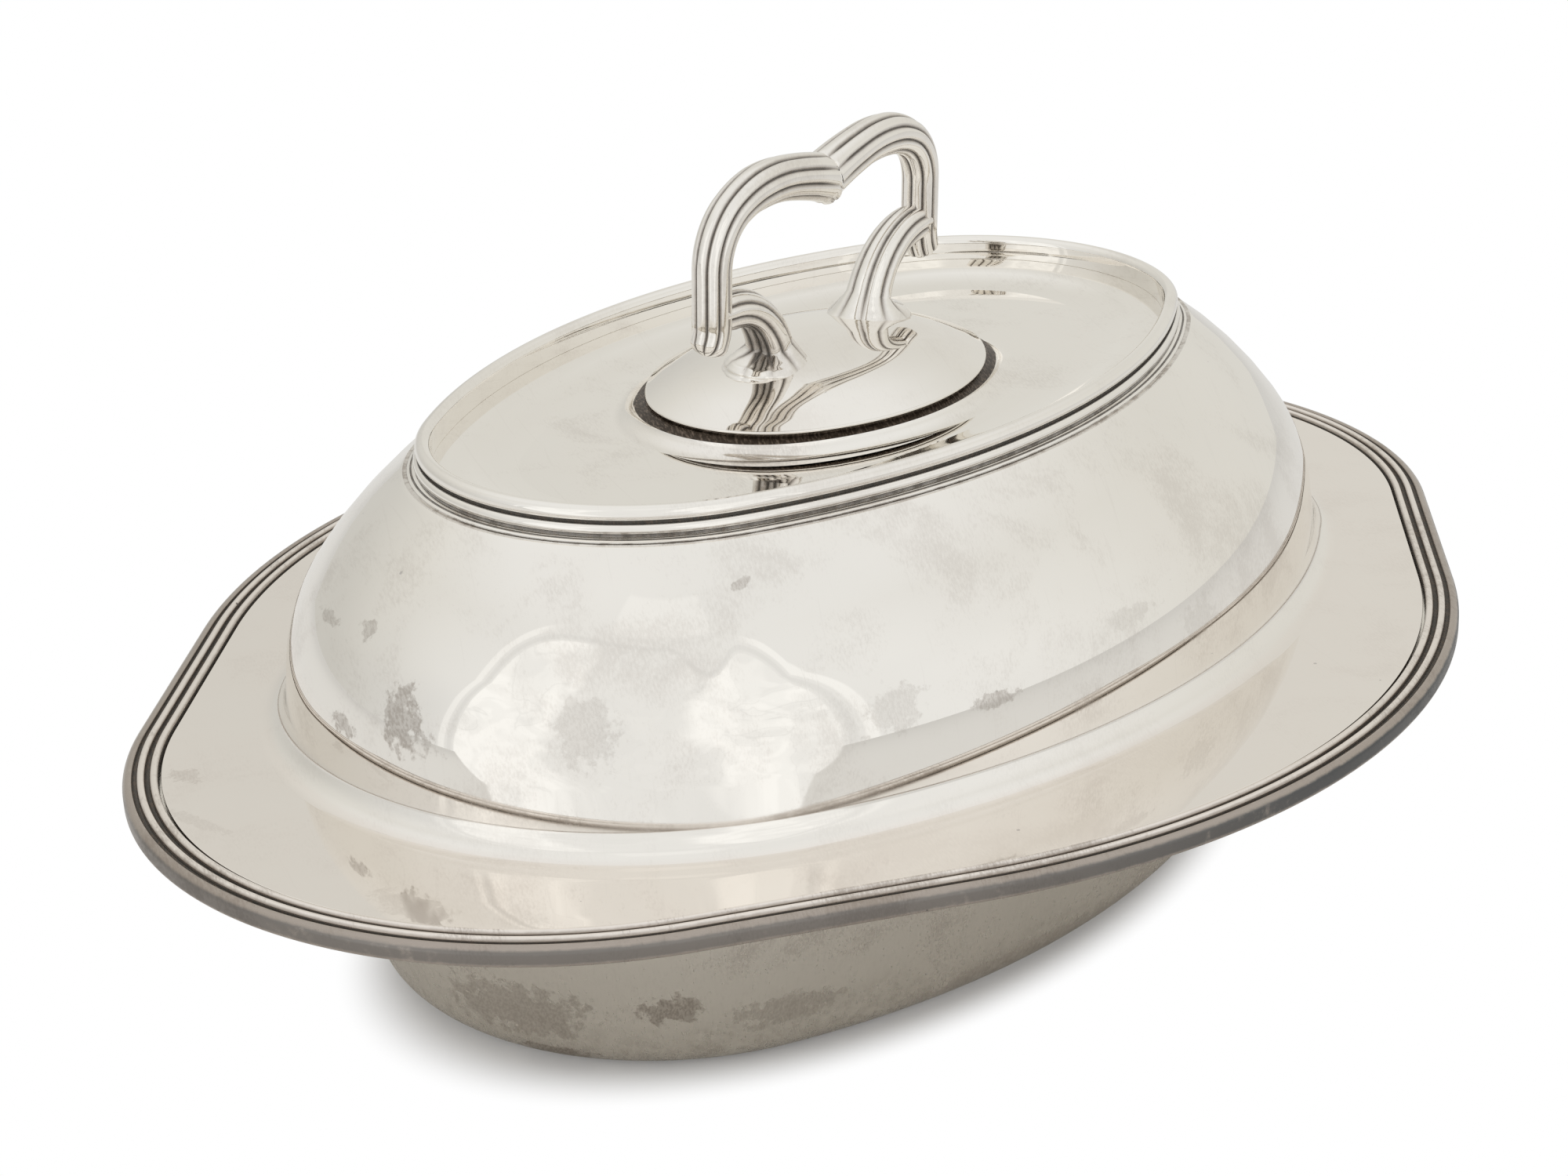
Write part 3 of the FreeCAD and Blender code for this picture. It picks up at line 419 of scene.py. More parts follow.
class Skin:
    """Faces of one piece, with the true direction of the surface at each corner."""

    def __init__(self):
        self.index, self.points, self.depths = {}, [], []
        self.faces, self.normals = [], []

    def corner(self, place, depth):
        """Number of the point at a place, made when it is new."""
        place = tuple(Vector(place))
        key = tuple(round(value * 1e7) for value in place)
        if key not in self.index:
            self.index[key] = len(self.points)
            self.points.append(place)
            self.depths.append(depth)
        return self.index[key]

    def face(self, corners):
        """One face from (place, normal, depth in a groove) corners."""
        numbers, normals = [], []
        for place, normal, depth in corners:
            number = self.corner(place, depth)
            if number not in numbers:
                numbers.append(number)
                normals.append(normal)
        if len(numbers) > 2:
            self.faces.append(numbers)
            self.normals.extend(normals)

    def sweep(self, ring, section, closed=False):
        """Carry a dressed section round a ring."""
        following = section[1:] + section[:1] * closed
        rows = []
        for x, y, nx, ny in ring:
            row = []
            for out, up, normal_out, normal_up, depth in section:
                place = (x + nx * out, y + ny * out, up)
                row.append((place, (nx * normal_out, ny * normal_out, normal_up), depth))
            rows.append(row)
        for here, there in zip(rows, rows[1:] + rows[:1]):
            for low in range(len(following)):
                high = (low + 1) % len(section)
                self.face((here[low], there[low], there[high], here[high]))

    def flat(self, loops, level, facing):
        """Fill the area between loops of (x, y) points at one level, facing up (1) or down (-1)."""
        triangles = geometry.tessellate_polygon([[Vector((x, y, 0.0)) for x, y in loop] for loop in loops])
        points = [point for loop in loops for point in loop]
        for a, b, c in triangles:
            (ax, ay), (bx, by), (cx, cy) = points[a], points[b], points[c]
            area = (bx - ax) * (cy - ay) - (cx - ax) * (by - ay)
            order = (a, b, c) if area * facing > 0 else (c, b, a)
            self.face([((*points[number], level), (0.0, 0.0, float(facing)), 0.0) for number in order])

    def rows(self, rows, pole_normal):
        """Skin over rows of points, each a closed loop, with directions read from the neighbours."""
        normals = []
        for step, row in enumerate(rows):
            before, after = rows[max(step - 1, 0)], rows[min(step + 1, len(rows) - 1)]
            line = []
            for here in range(len(row)):
                around = row[(here + 1) % len(row)] - row[here - 1]
                across = after[here] - before[here]
                normal = around.cross(across)
                line.append(normal.normalized() if normal.length > 1e-12 else Vector(pole_normal))
            normals.append(line)
        for step in range(len(rows) - 1):
            for here in range(len(rows[step])):
                there = (here + 1) % len(rows[step])
                self.face([
                    (tuple(rows[row][place]), tuple(normals[row][place]), 0.0)
                    for row, place in ((step, here), (step, there), (step + 1, there), (step + 1, here))
                ])

    def mesh(self, name):
        """The finished mesh, with its groove depths as an attribute."""
        mesh = bpy.data.meshes.new(name)
        mesh.from_pydata(self.points, [], self.faces)
        mesh.shade_smooth()
        mesh.normals_split_custom_set(self.normals)
        depth = mesh.attributes.new("groove", "FLOAT", "POINT")
        depth.data.foreach_set("value", self.depths)
        return mesh


def placed(name, mesh, body, nodes, material):
    """Put a finished piece in the scene on its body, in place of its CAD nodes."""
    piece = bpy.data.objects.new(name, mesh)
    bpy.context.scene.collection.objects.link(piece)
    mesh.materials.clear()
    mesh.materials.append(material)
    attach(piece, body)
    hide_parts(*nodes)
    return piece


# Node trees


def node_operator(operation, swapped=False):
    """A method that stands for one of Python's operators and adds a Math node."""
    def method(self, other):
        return self.maker.maths(operation, *((other, self) if swapped else (self, other)))
    return method


class Number:
    """A value in a node tree. Python's operators on it add Math nodes."""

    def __init__(self, maker, socket):
        self.maker, self.socket = maker, socket

    def __abs__(self):
        return self.maker.maths("ABSOLUTE", self)

    __add__ = __radd__ = node_operator("ADD")
    __mul__ = __rmul__ = node_operator("MULTIPLY")
    __sub__, __rsub__ = node_operator("SUBTRACT"), node_operator("SUBTRACT", swapped=True)
    __truediv__, __rtruediv__ = node_operator("DIVIDE"), node_operator("DIVIDE", swapped=True)
    __pow__ = node_operator("POWER")


class Maker:
    """Adds nodes to one tree."""

    def __init__(self, tree):
        self.tree = tree

    def feed(self, socket, value):
        """Link a socket to a value of the tree, or give it a fixed one."""
        if isinstance(value, Number):
            self.tree.links.new(value.socket, socket)
        elif isinstance(value, (list, tuple)) and isinstance(value[0], Number) and socket.is_multi_input:
            for item in value:
                self.tree.links.new(item.socket, socket)
        else:
            socket.default_value = value

    def add(self, kind, settings=None, sockets=None, output=0):
        """A node of one kind: its settings first, then its sockets."""
        node = self.tree.nodes.new(kind)
        number = len(self.tree.nodes)
        node.location = (190 * (number // 6), -170 * (number % 6))
        for key, value in (settings or {}).items():
            if key == "items":
                while len(node.index_switch_items) < value:
                    node.index_switch_items.new()
            else:
                setattr(node, key, value)
        for key, value in (sockets or {}).items():
            self.feed(node.inputs[key], value)
        return Number(self, node.outputs[output]) if len(node.outputs) else node

    def maths(self, operation, *values):
        """A Math node."""
        return self.add("ShaderNodeMath", {"operation": operation}, dict(enumerate(values)))

    def vector(self, operation, *values, output=0):
        """A Vector Math node."""
        return self.add("ShaderNodeVectorMath", {"operation": operation}, dict(enumerate(values)), output)

    def scaled(self, vector, factor):
        """A vector or colour times a number."""
        return self.add("ShaderNodeVectorMath", {"operation": "SCALE"}, {0: vector, "Scale": factor})

    def joined(self, x, y, z):
        """A vector from three numbers."""
        return self.add("ShaderNodeCombineXYZ", None, {0: x, 1: y, 2: z})

    def part(self, vector, axis):
        """One number of a vector."""
        return self.add("ShaderNodeSeparateXYZ", None, {0: vector}, output="XYZ".index(axis))

    def smooth(self, value, low, high):
        """0 up to low, 1 from high on, and a soft step between."""
        sockets = {"Value": value, "From Min": low, "From Max": high}
        return self.add("ShaderNodeMapRange", {"interpolation_type": "SMOOTHSTEP"}, sockets)

    def noise(self, vector, scale, detail=3.0, roughness=0.5, distortion=0.0):
        """Noise from 0 to 1."""
        sockets = {
            "Vector": vector, "Scale": scale, "Detail": detail,
            "Roughness": roughness, "Distortion": distortion,
        }
        return self.add("ShaderNodeTexNoise", None, sockets)

    def turned(self, vector, angle):
        """A vector turned round the upright axis."""
        sockets = {"Vector": vector, "Angle": angle}
        return self.add("ShaderNodeVectorRotate", {"rotation_type": "Z_AXIS"}, sockets)

    def stored(self, geometry, name, value):
        """Geometry with a number kept at each of its points."""
        sockets = {"Geometry": geometry, "Name": name, "Value": value}
        return self.add("GeometryNodeStoreNamedAttribute", {"data_type": "FLOAT", "domain": "POINT"}, sockets)

    def rays(self):
        """Whether a ray comes from the camera, and whether it comes from a polished surface."""
        return [self.add("ShaderNodeLightPath", output=kind) for kind in ("Is Camera Ray", "Is Glossy Ray")]

    def blend(self, factor, low, high):
        """A colour between two colours. The node's colour sockets share their names with its other
        ones, so they go by number."""
        return self.add("ShaderNodeMix", {"data_type": "RGBA"}, {0: factor, 6: low, 7: high}, output=2)


def rgba(value):
    """A colour with full alpha."""
    return (*value, 1.0)


def new_material(name):
    """An empty material, and the maker of its nodes."""
    material = bpy.data.materials.new(name)
    material.use_nodes = True
    material.node_tree.nodes.clear()
    return material, Maker(material.node_tree)


# Finishes


# Heights of the fine relief on a plate
HAIRLINE = 0.0003 * MM
FINE_GRAIN = 0.0002 * MM
PIT = 0.02 * MM
FIBRE = 0.0014 * MM
# Groove value of a place painted dark: old dirt and painted shade in the flutes, painted shadow on the
# plinth's ledge
DARK_FILL = 0.72

SPOTS_ON_COVER = (
    # Tarnished patches and marks on the cover: place, half sizes (mm) and strength
    ((-115.4, -0.2, 68.7), (7.0, 4.6, 5.6), 0.75),
    ((-113.6, -5.5, 65.5), (3.0, 5.0, 3.0), 0.6),
    ((-115.2, 15.0, 64.0), (3.0, 3.6, 1.8), 0.7),
    ((-107.8, 13.8, 79.5), (3.0, 2.4, 1.8), 0.5),
    ((-104.4, 27.8, 77.6), (3.0, 6.0, 1.0), 0.5),
    ((-76.5, -44.3, 90.1), (2.6, 1.0, 0.9), 0.6),
    ((-105.4, -34.0, 71.3), (4.5, 6.0, 7.5), 0.3),
    ((-48.3, -75.7, 66.0), (5.0, 3.0, 1.4), 0.6),
    ((-66.0, -68.0, 68.8), (7.0, 4.0, 4.0), 0.28),
    ((-14.3, -80.9, 70.6), (7.0, 2.5, 2.0), 0.25),
    ((5.5, -83.7, 63.7), (6.0, 2.5, 4.0), 0.2),
    ((-125.9, 45.7, 50.0), (2.5, 4.0, 1.5), 0.8),
    ((-137.5, -23.3, 50.0), (3.5, 9.0, 1.5), 0.45),
    ((-137.0, 30.6, 50.0), (1.6, 9.0, 1.5), 0.4),
)
SPOTS_ON_WELL = (
    # Tarnished patches on the well: place, half sizes (mm) and strength
    ((-94.9, -39.3, 15.6), (5.0, 6.0, 3.4), 0.9),
    ((-106.8, -13.4, 12.7), (8.0, 15.0, 7.0), 0.6),
    ((-101.7, -17.1, 3.0), (5.0, 8.0, 2.2), 0.9),
    ((-80.5, -53.1, 12.0), (12.0, 9.0, 3.5), 0.5),
    ((-31.1, -67.8, 4.0), (45.0, 9.0, 3.5), 0.4),
)


def spotted(maker, place, grain, strokes, spots):
    """Ragged patches at given places, made of short strokes."""
    mask = None
    for centre, sizes, strength in spots:
        scale = [1 / (MM * size) for size in sizes]
        offset = [-MM * value * factor for value, factor in zip(centre, scale)]
        local = maker.vector("MULTIPLY_ADD", place, scale, offset)
        distance = maker.vector("LENGTH", local, output="Value")
        patch = maker.smooth(distance + (grain - 0.5) * 2.6, 1.1, 0.7) * strength
        mask = patch if mask is None else maker.maths("MAXIMUM", mask, patch)
    return mask * (0.5 + maker.smooth(strokes, 0.4, 0.62) * 0.32)


def plate(
    name, base, finish, roughness, wave=1.0, stain=0.3, bloom=0.0, pits=0.5, brushed=0.0,
    spots=(), shades=(), soil=None,
):
    """Silver plate: slow waves, hairline scratches, pits, tarnish in patches, and dark dirt with painted
    shade in grooves.
    Each of the shades is a function that gives a mask, with the colour and roughness that it brings."""
    material, maker = new_material(name)
    place = maker.add("ShaderNodeTexCoord", output="Object")
    groove = maker.add("ShaderNodeAttribute", {"attribute_name": "groove"}, output="Fac")

    slow = maker.noise(place, 17.0, 1.0)
    cloud = maker.noise(place, 55.0, 4.0, 0.6, 0.4)
    grain = maker.noise(place, 420.0, 4.0, 0.65)
    fine = maker.noise(place, 2600.0, 2.0)
    stretched = maker.vector("MULTIPLY", maker.turned(place, 0.6), (2600.0, 600.0, 1300.0))
    strokes = maker.noise(stretched, 1.0, 3.0, 0.6)

    # Thin bloom in wide clouds, darker tarnish where clouds and grain agree
    haze = maker.smooth(slow * 0.55 + cloud * 0.6, 0.46, 0.8)
    stained = maker.smooth(cloud * 0.7 + slow * 0.2 + strokes * 0.35, 0.62, 0.8) * stain
    if spots:
        stained = maker.maths("MAXIMUM", stained, spotted(maker, place, grain, strokes, spots))

    # Pits: one small dark dot in some of the cells
    cells, chance = (
        maker.add("ShaderNodeTexVoronoi", {"feature": "F1"}, {"Vector": place, "Scale": 150.0}, output=output)
        for output in ("Distance", "Color")
    )
    size = maker.part(chance, "Y") * 0.055 + 0.025
    picked = maker.smooth(maker.part(chance, "X"), 0.95 - 0.12 * pits, 0.96 - 0.12 * pits)
    pitted = maker.smooth(cells, size, size * 0.6) * picked * min(1.0, 1.4 * pits)

    # Hairlines in two directions
    lines = []
    for spin, stretch in ((0.5, (900.0, 22.0, 60.0)), (-0.9, (25.0, 1100.0, 40.0))):
        lines.append(maker.noise(maker.vector("MULTIPLY", maker.turned(place, spin), stretch), 1.0, 2.0))
    hair = maker.smooth(lines[0], 0.66, 0.72) + maker.smooth(lines[1], 0.68, 0.74)

    # Grooves darken by their depth in the section: old dirt, and painted shade where a groove is deep
    deep = maker.smooth(groove + (grain - 0.5) * 0.2, 0.2, 0.7)
    colour_now = maker.blend(haze * (0.25 + bloom), rgba(base), rgba(finish.rosy))
    colour_now = maker.blend(stained + hair * 0.03, colour_now, rgba(finish.tarnish))
    rough = roughness + haze * 0.01 + stained * 0.25 + hair * 0.01
    height = slow * (finish.wave * wave) - hair * HAIRLINE + fine * FINE_GRAIN - pitted * PIT
    if brushed:
        fibres = maker.noise(maker.vector("MULTIPLY", place, (1900.0, 1900.0, 30.0)), 1.0, 2.0)
        height = height + fibres * (FIBRE * brushed)
        rough = rough + maker.smooth(fibres, 0.3, 0.8) * (0.08 * brushed)
        dulled = maker.smooth(fibres, 0.5, 0.75) * (0.08 * brushed)
        colour_now = maker.blend(dulled, colour_now, rgba(finish.tarnish))
    for mask, shade, dulling in shades:
        amount = mask(maker, place, grain, cloud)
        colour_now = maker.blend(amount, colour_now, rgba(shade))
        rough = rough + amount * dulling
    # Dark fill: pits, and the grooves' dirt with painted shade, less metallic and duller
    dirt_pits_and_shade = maker.maths("MAXIMUM", deep, pitted * 0.8)
    dirt = maker.blend(maker.smooth(strokes, 0.45, 0.7) * 0.8, rgba(soil or finish.grime_and_shade), rgba(finish.earth))
    colour_now = maker.blend(dirt_pits_and_shade, colour_now, dirt)
    bump = maker.add("ShaderNodeBump", None, {"Strength": 1.0, "Distance": 1.0, "Height": height})
    shader = maker.add("ShaderNodeBsdfPrincipled", None, {
        "Base Color": colour_now,
        "Metallic": 1.0 - dirt_pits_and_shade * 0.75,
        "Roughness": rough + dirt_pits_and_shade * 0.3,
        "Specular IOR Level": 0.15,
        "Normal": bump,
    })
    maker.add("ShaderNodeOutputMaterial", None, {"Surface": shader})
    return material


# Geometry Nodes


def new_tree(name, inputs):
    """An empty geometry tree with named inputs, and the values that it reads from them."""
    tree = bpy.data.node_groups.new(name, "GeometryNodeTree")
    tree.interface.new_socket(name="Geometry", in_out="INPUT", socket_type="NodeSocketGeometry")
    tree.interface.new_socket(name="Geometry", in_out="OUTPUT", socket_type="NodeSocketGeometry")
    for label, kind in inputs.items():
        tree.interface.new_socket(name=label, in_out="INPUT", socket_type=kind)
    maker = Maker(tree)
    source = tree.nodes.new("NodeGroupInput")
    given = {socket.name: Number(maker, socket) for socket in source.outputs if socket.name}
    return maker, given


def finish_tree(maker, result, material):
    """End of each tree: real faces, smooth, with their material."""
    result = maker.add("GeometryNodeSetShadeSmooth", None, {"Geometry": result})
    result = maker.add("GeometryNodeRealizeInstances", None, {"Geometry": result})
    result = maker.add("GeometryNodeSetMaterial", None, {"Geometry": result, "Material": material})
    maker.add("NodeGroupOutput", None, {"Geometry": result})


def run_tree(name, mesh, tree, values):
    """Run a tree on a mesh and return the plain mesh that comes out."""
    helper = bpy.data.objects.new(name, mesh)
    bpy.context.scene.collection.objects.link(helper)
    modifier = helper.modifiers.new(name, "NODES")
    modifier.node_group = tree
    for item in tree.interface.items_tree:
        if item.item_type == "SOCKET" and item.in_out == "INPUT" and item.name in values:
            modifier[item.identifier] = values[item.name]
    depsgraph = bpy.context.evaluated_depsgraph_get()
    result = bpy.data.meshes.new_from_object(helper.evaluated_get(depsgraph))
    helper.modifiers.remove(modifier)
    bpy.data.objects.remove(helper)
    if not len(result.polygons):
        raise RuntimeError(f"{name} came out empty")
    return result


BORDER_SIZES = {
    "Inner Edge": "gap", "Reed Width": "reed_width", "Reed Groove": "reed_groove",
    "Reed Round": "reed_round", "Reed Height": "reed_height", "Groove Depth": "groove_depth",
    "Crown": "crown", "Seat": "seat", "Seat Reach": "reach", "Roll Width": "roll_width",
    "Roll Height": "roll_height", "Roll Round": "roll_round", "Under": "under", "Lip Round": "lip_round",
}


def border_tree():
    """Reeds repeated side by side and closed by an outer roll, all swept along the outline."""
    inputs = {"Reeds": "NodeSocketInt", "Material": "NodeSocketMaterial"}
    inputs.update({label: "NodeSocketFloat" for label in BORDER_SIZES})
    maker, given = new_tree("Reeded border", inputs)
    index = maker.add("GeometryNodeInputIndex")
    low = given["Crown"] - given["Groove Depth"]
    pitch = given["Reed Width"] + given["Reed Groove"]

    def line(points, radii, rounds):
        """An open line through points, with its corners rounded."""
        count = len(points)
        strip = maker.add("GeometryNodeMeshLine", None, {"Count": count})
        switches = []
        for kind, items in (("VECTOR", [maker.joined(x, y, 0.0) for x, y in points]), ("FLOAT", radii)):
            sockets = {number + 1: item for number, item in enumerate(items)}
            settings = {"data_type": kind, "items": count}
            switches.append(maker.add("GeometryNodeIndexSwitch", settings, {0: index, **sockets}))
        strip = maker.add("GeometryNodeSetPosition", None, {"Geometry": strip, "Position": switches[0]})
        curve = maker.add("GeometryNodeMeshToCurve", None, {"Mesh": maker.stored(strip, "ease", switches[1])})
        ease = maker.add("GeometryNodeInputNamedAttribute", {"data_type": "FLOAT"}, {"Name": "ease"})
        return maker.add("GeometryNodeFilletCurve", {"mode": "POLY"}, {
            "Curve": curve, "Count": rounds, "Radius": ease, "Limit Radius": True,
        })

    top = given["Crown"] + given["Reed Height"]
    width, edge = given["Reed Width"], 0.12 * MM
    reed = line(
        [(0.0, low), (0.0, top), (width, top), (width, low), (pitch, low)],
        [0.0, given["Reed Round"], given["Reed Round"], edge, 0.0], 7,
    )
    inner, under, seat = given["Inner Edge"], given["Under"], given["Seat"]
    start = inner + pitch * given["Reeds"]
    outer = start + given["Roll Width"]
    roll_top = given["Crown"] + given["Roll Height"]
    flange = inner + given["Seat Reach"]
    closing = line(
        [(start, low), (start, roll_top), (outer, roll_top), (outer, under),
         (flange, under), (flange, seat), (inner, seat), (inner, low)],
        [0.0, given["Reed Round"] * 0.6, given["Roll Round"], given["Lip Round"], edge, edge, edge, 0.0], 9,
    )
    places = maker.add("GeometryNodeMeshLine", None, {
        "Count": given["Reeds"],
        "Start Location": maker.joined(inner, 0.0, 0.0),
        "Offset": maker.joined(pitch, 0.0, 0.0),
    })
    reeds = maker.add("GeometryNodeInstanceOnPoints", None, {"Points": places, "Instance": reed})
    reeds = maker.add("GeometryNodeRealizeInstances", None, {"Geometry": reeds})
    section = maker.add("GeometryNodeJoinGeometry", None, {"Geometry": [reeds, closing]})

    # Old dirt and painted shade fill the grooves
    spot = maker.add("GeometryNodeInputPosition")
    out, up = maker.part(spot, "X"), maker.part(spot, "Y")
    sunk = maker.smooth(up, given["Crown"] + 0.3 * MM, low + 0.1 * MM)
    inside = maker.smooth(out, outer - 0.2 * MM, outer - 0.9 * MM)
    section = maker.stored(section, "groove", sunk * inside)
    section = maker.add("GeometryNodeTransform", None, {"Geometry": section, "Scale": (1.0, -1.0, 1.0)})
    path = maker.add("GeometryNodeMeshToCurve", None, {"Mesh": given["Geometry"]})
    path = maker.add("GeometryNodeSetCurveNormal", {"mode": "Z_UP"}, {"Curve": path})
    swept = maker.add("GeometryNodeCurveToMesh", None, {"Curve": path, "Profile Curve": section})
    swept = maker.add("GeometryNodeMergeByDistance", None, {"Geometry": swept, "Distance": 0.001 * MM})
    finish_tree(maker, swept, given["Material"])
    return maker.tree


CASTING_INPUTS = {
    "Flutes": "NodeSocketInt", "Steps per Flute": "NodeSocketInt", "Flute Depth": "NodeSocketFloat",
    "Groove Power": "NodeSocketFloat", "Hollow Depth": "NodeSocketFloat", "Hollow Width": "NodeSocketFloat",
    "Across": "NodeSocketVector", "Trim": "NodeSocketFloat", "Material": "NodeSocketMaterial",
}


def casting_tree():
    """A fluted round bar that follows a path. The path's points carry heading, radius, and
    shares of flute and hollow."""
    maker, given = new_tree("Fluted casting", CASTING_INPUTS)
    path = given["Geometry"]
    count = maker.add("GeometryNodeAttributeDomainSize", {"component": "MESH"}, {"Geometry": path})
    columns = given["Flutes"] * given["Steps per Flute"] + 1
    sockets = {"Size X": 1.0, "Size Y": 1.0, "Vertices X": columns, "Vertices Y": count}
    grid = maker.add("GeometryNodeMeshGrid", None, sockets)
    spot = maker.add("GeometryNodeInputPosition")
    around = maker.part(spot, "X") + 0.5
    row = maker.maths("ROUND", (maker.part(spot, "Y") + 0.5) * (count - 1))

    def read(name, kind):
        """A value of the path at this row."""
        if name == "position":
            value = spot
        else:
            value = maker.add("GeometryNodeInputNamedAttribute", {"data_type": kind}, {"Name": name})
        return maker.add("GeometryNodeSampleIndex", {"data_type": kind, "domain": "POINT"}, {
            "Geometry": path, "Value": value, "Index": row,
        })

    centre, heading = read("position", "FLOAT_VECTOR"), read("heading", "FLOAT_VECTOR")
    radius, fluted, hollow = read("radius", "FLOAT"), read("fluted", "FLOAT"), read("hollow", "FLOAT")
    phase = abs(maker.maths("FRACT", around * given["Flutes"] + 0.5) - 0.5) * 2.0
    valley = (phase ** given["Groove Power"]) * fluted
    dent = maker.maths("EXPONENT", ((around - 0.5) / given["Hollow Width"]) ** 2.0 * -1.0) * hollow
    reach = radius * (1.0 - valley * given["Flute Depth"]) * (1.0 - dent * given["Hollow Depth"])
    angle = around * (2 * math.pi)
    up = maker.vector("CROSS_PRODUCT", heading, given["Across"])
    upward = maker.scaled(up, reach * maker.maths("COSINE", angle))
    sideways = maker.scaled(given["Across"], reach * maker.maths("SINE", angle))
    place = maker.vector("ADD", centre, maker.vector("ADD", upward, sideways))
    trimmed = maker.maths("MAXIMUM", maker.part(place, "X"), given["Trim"])
    place = maker.joined(trimmed, maker.part(place, "Y"), maker.part(place, "Z"))
    # Flute valleys and the feet's hollows are marked to darken: old dirt, with painted shade
    skin = maker.stored(grid, "groove", valley * DARK_FILL + dent * 0.42)
    skin = maker.add("GeometryNodeSetPosition", None, {"Geometry": skin, "Position": place})
    skin = maker.add("GeometryNodeFlipFaces", None, {"Mesh": skin})
    skin = maker.add("GeometryNodeMergeByDistance", None, {"Geometry": skin, "Distance": 0.002 * MM})
    finish_tree(maker, skin, given["Material"])
    return maker.tree


# Paths of the castings


BRIDGE_SLOPE = 17.4
SCROLL_BOWS = ((92.0, 8.3), (34.0, 14.6), (22.8, 20.3), (11.2, 64.2))
SCROLL_SHARES = (0.0, 0.4, 0.5, 0.85, 1.0, 1.0)
SCROLL_STEPS = 16
JOINT_FLUTE = 0.35
TIP_BOW = (8.0, -30.0)
TIP_DOME = 2.0 * MM
FOOT_BOWS = ((2.6, 0.0), (16.0, -71.0), (8.0, -19.0), (3.0, 0.0))
FOOT_SPREAD = (0.0, 0.0, 0.02, 0.05, 0.11, 0.19, 0.28, 0.39, 0.53, 0.72, 0.9, 0.98, 1.0)
FOOT_STEPS = 3
# How far past its last station a path closes to a point
CLOSING = 0.1 * MM


def walked(start, heading, bows, steps):
    """Stations along a run of (radius or length in mm, clockwise turn in degrees) bows:
    (x, z, heading in degrees, bow number with the share along it)."""
    x, z = start
    stations = [(x, z, heading, 0.0)]
    for number, (reach, bend) in enumerate(bows):
        reach *= MM
        for step in range(steps):
            if bend == 0:
                run, middle = reach / steps, heading
            else:
                part = bend / steps
                run = 2 * reach * math.sin(math.radians(abs(part)) / 2)
                middle = heading - part / 2
                heading -= part
            x += run * math.cos(math.radians(middle))
            z += run * math.sin(math.radians(middle))
            stations.append((x, z, heading, number + (step + 1) / steps))
    return stations


def between(shares, along):
    """Straight-line value between the entries of a list, at a place counted in entries."""
    low = min(max(int(along), 0), len(shares) - 2)
    part = min(max(along - low, 0.0), 1.0)
    return shares[low] * (1 - part) + shares[low + 1] * part


def path_mesh(name, stations):
    """Points and edges of a path, with the values that the casting tree reads.
    A station is (x, z, heading, radius, share of flute, share of hollow)."""
    mesh = bpy.data.meshes.new(name)
    points = [(x, 0.0, z) for x, z, *_ in stations]
    mesh.from_pydata(points, [(step, step + 1) for step in range(len(points) - 1)], [])
    heading = mesh.attributes.new("heading", "FLOAT_VECTOR", "POINT")
    angles = [math.radians(station[2]) for station in stations]
    heading.data.foreach_set("vector", [value for a in angles for value in (math.cos(a), 0.0, math.sin(a))])
    for number, label in ((3, "radius"), (4, "fluted"), (5, "hollow")):
        attribute = mesh.attributes.new(label, "FLOAT", "POINT")
        attribute.data.foreach_set("value", [station[number] for station in stations])
    return mesh


def domed_end(x, z, heading, radius, fluted, depth, steps=8):
    """Stations that close an end with a soft dome."""
    angle = math.radians(heading)
    closing = []
    for number in range(1, steps + 1):
        part = math.radians(90 * number / steps)
        run = depth * math.sin(part)
        spot = (x + run * math.cos(angle), z + run * math.sin(angle))
        closing.append((*spot, heading, radius * math.cos(part), fluted, 0.0))
    return closing


def scroll_path(handle):
    """Right scroll, from just past the middle of the bridge to its outward tip."""
    bows = [*SCROLL_BOWS, (handle.leg_length / MM, 0.0), TIP_BOW]
    walk = walked((0.0, handle.bridge_level), BRIDGE_SLOPE, bows, SCROLL_STEPS)
    stations = []
    for x, z, heading, along in walk:
        past = along - (len(SCROLL_SHARES) - 1)
        if past > 0:
            radius = handle.leg_radius + (handle.tip_radius - handle.leg_radius) * past
        else:
            taper = between(SCROLL_SHARES, along)
            radius = handle.bridge_radius + (handle.leg_radius - handle.bridge_radius) * taper
        fluted = min(1.0, JOINT_FLUTE + 1.6 * along)
        stations.append((x, z, heading, radius, fluted, 0.0))
    slope = math.radians(BRIDGE_SLOPE)
    lip = handle.bridge_radius + handle.joint_lip
    x, z = -lip * math.sin(slope), handle.bridge_level - lip * math.sin(slope) * math.tan(slope)
    stations.insert(0, (x, z, BRIDGE_SLOPE, lip, JOINT_FLUTE, 0.0))
    stations.insert(0, (x - CLOSING, z, BRIDGE_SLOPE, 0.0, JOINT_FLUTE, 0.0))
    tip = stations[-1]
    stations += domed_end(*tip[:5], TIP_DOME)
    leg_end = walk[(len(SCROLL_SHARES) - 1) * SCROLL_STEPS]
    return path_mesh("scroll_path", stations), leg_end


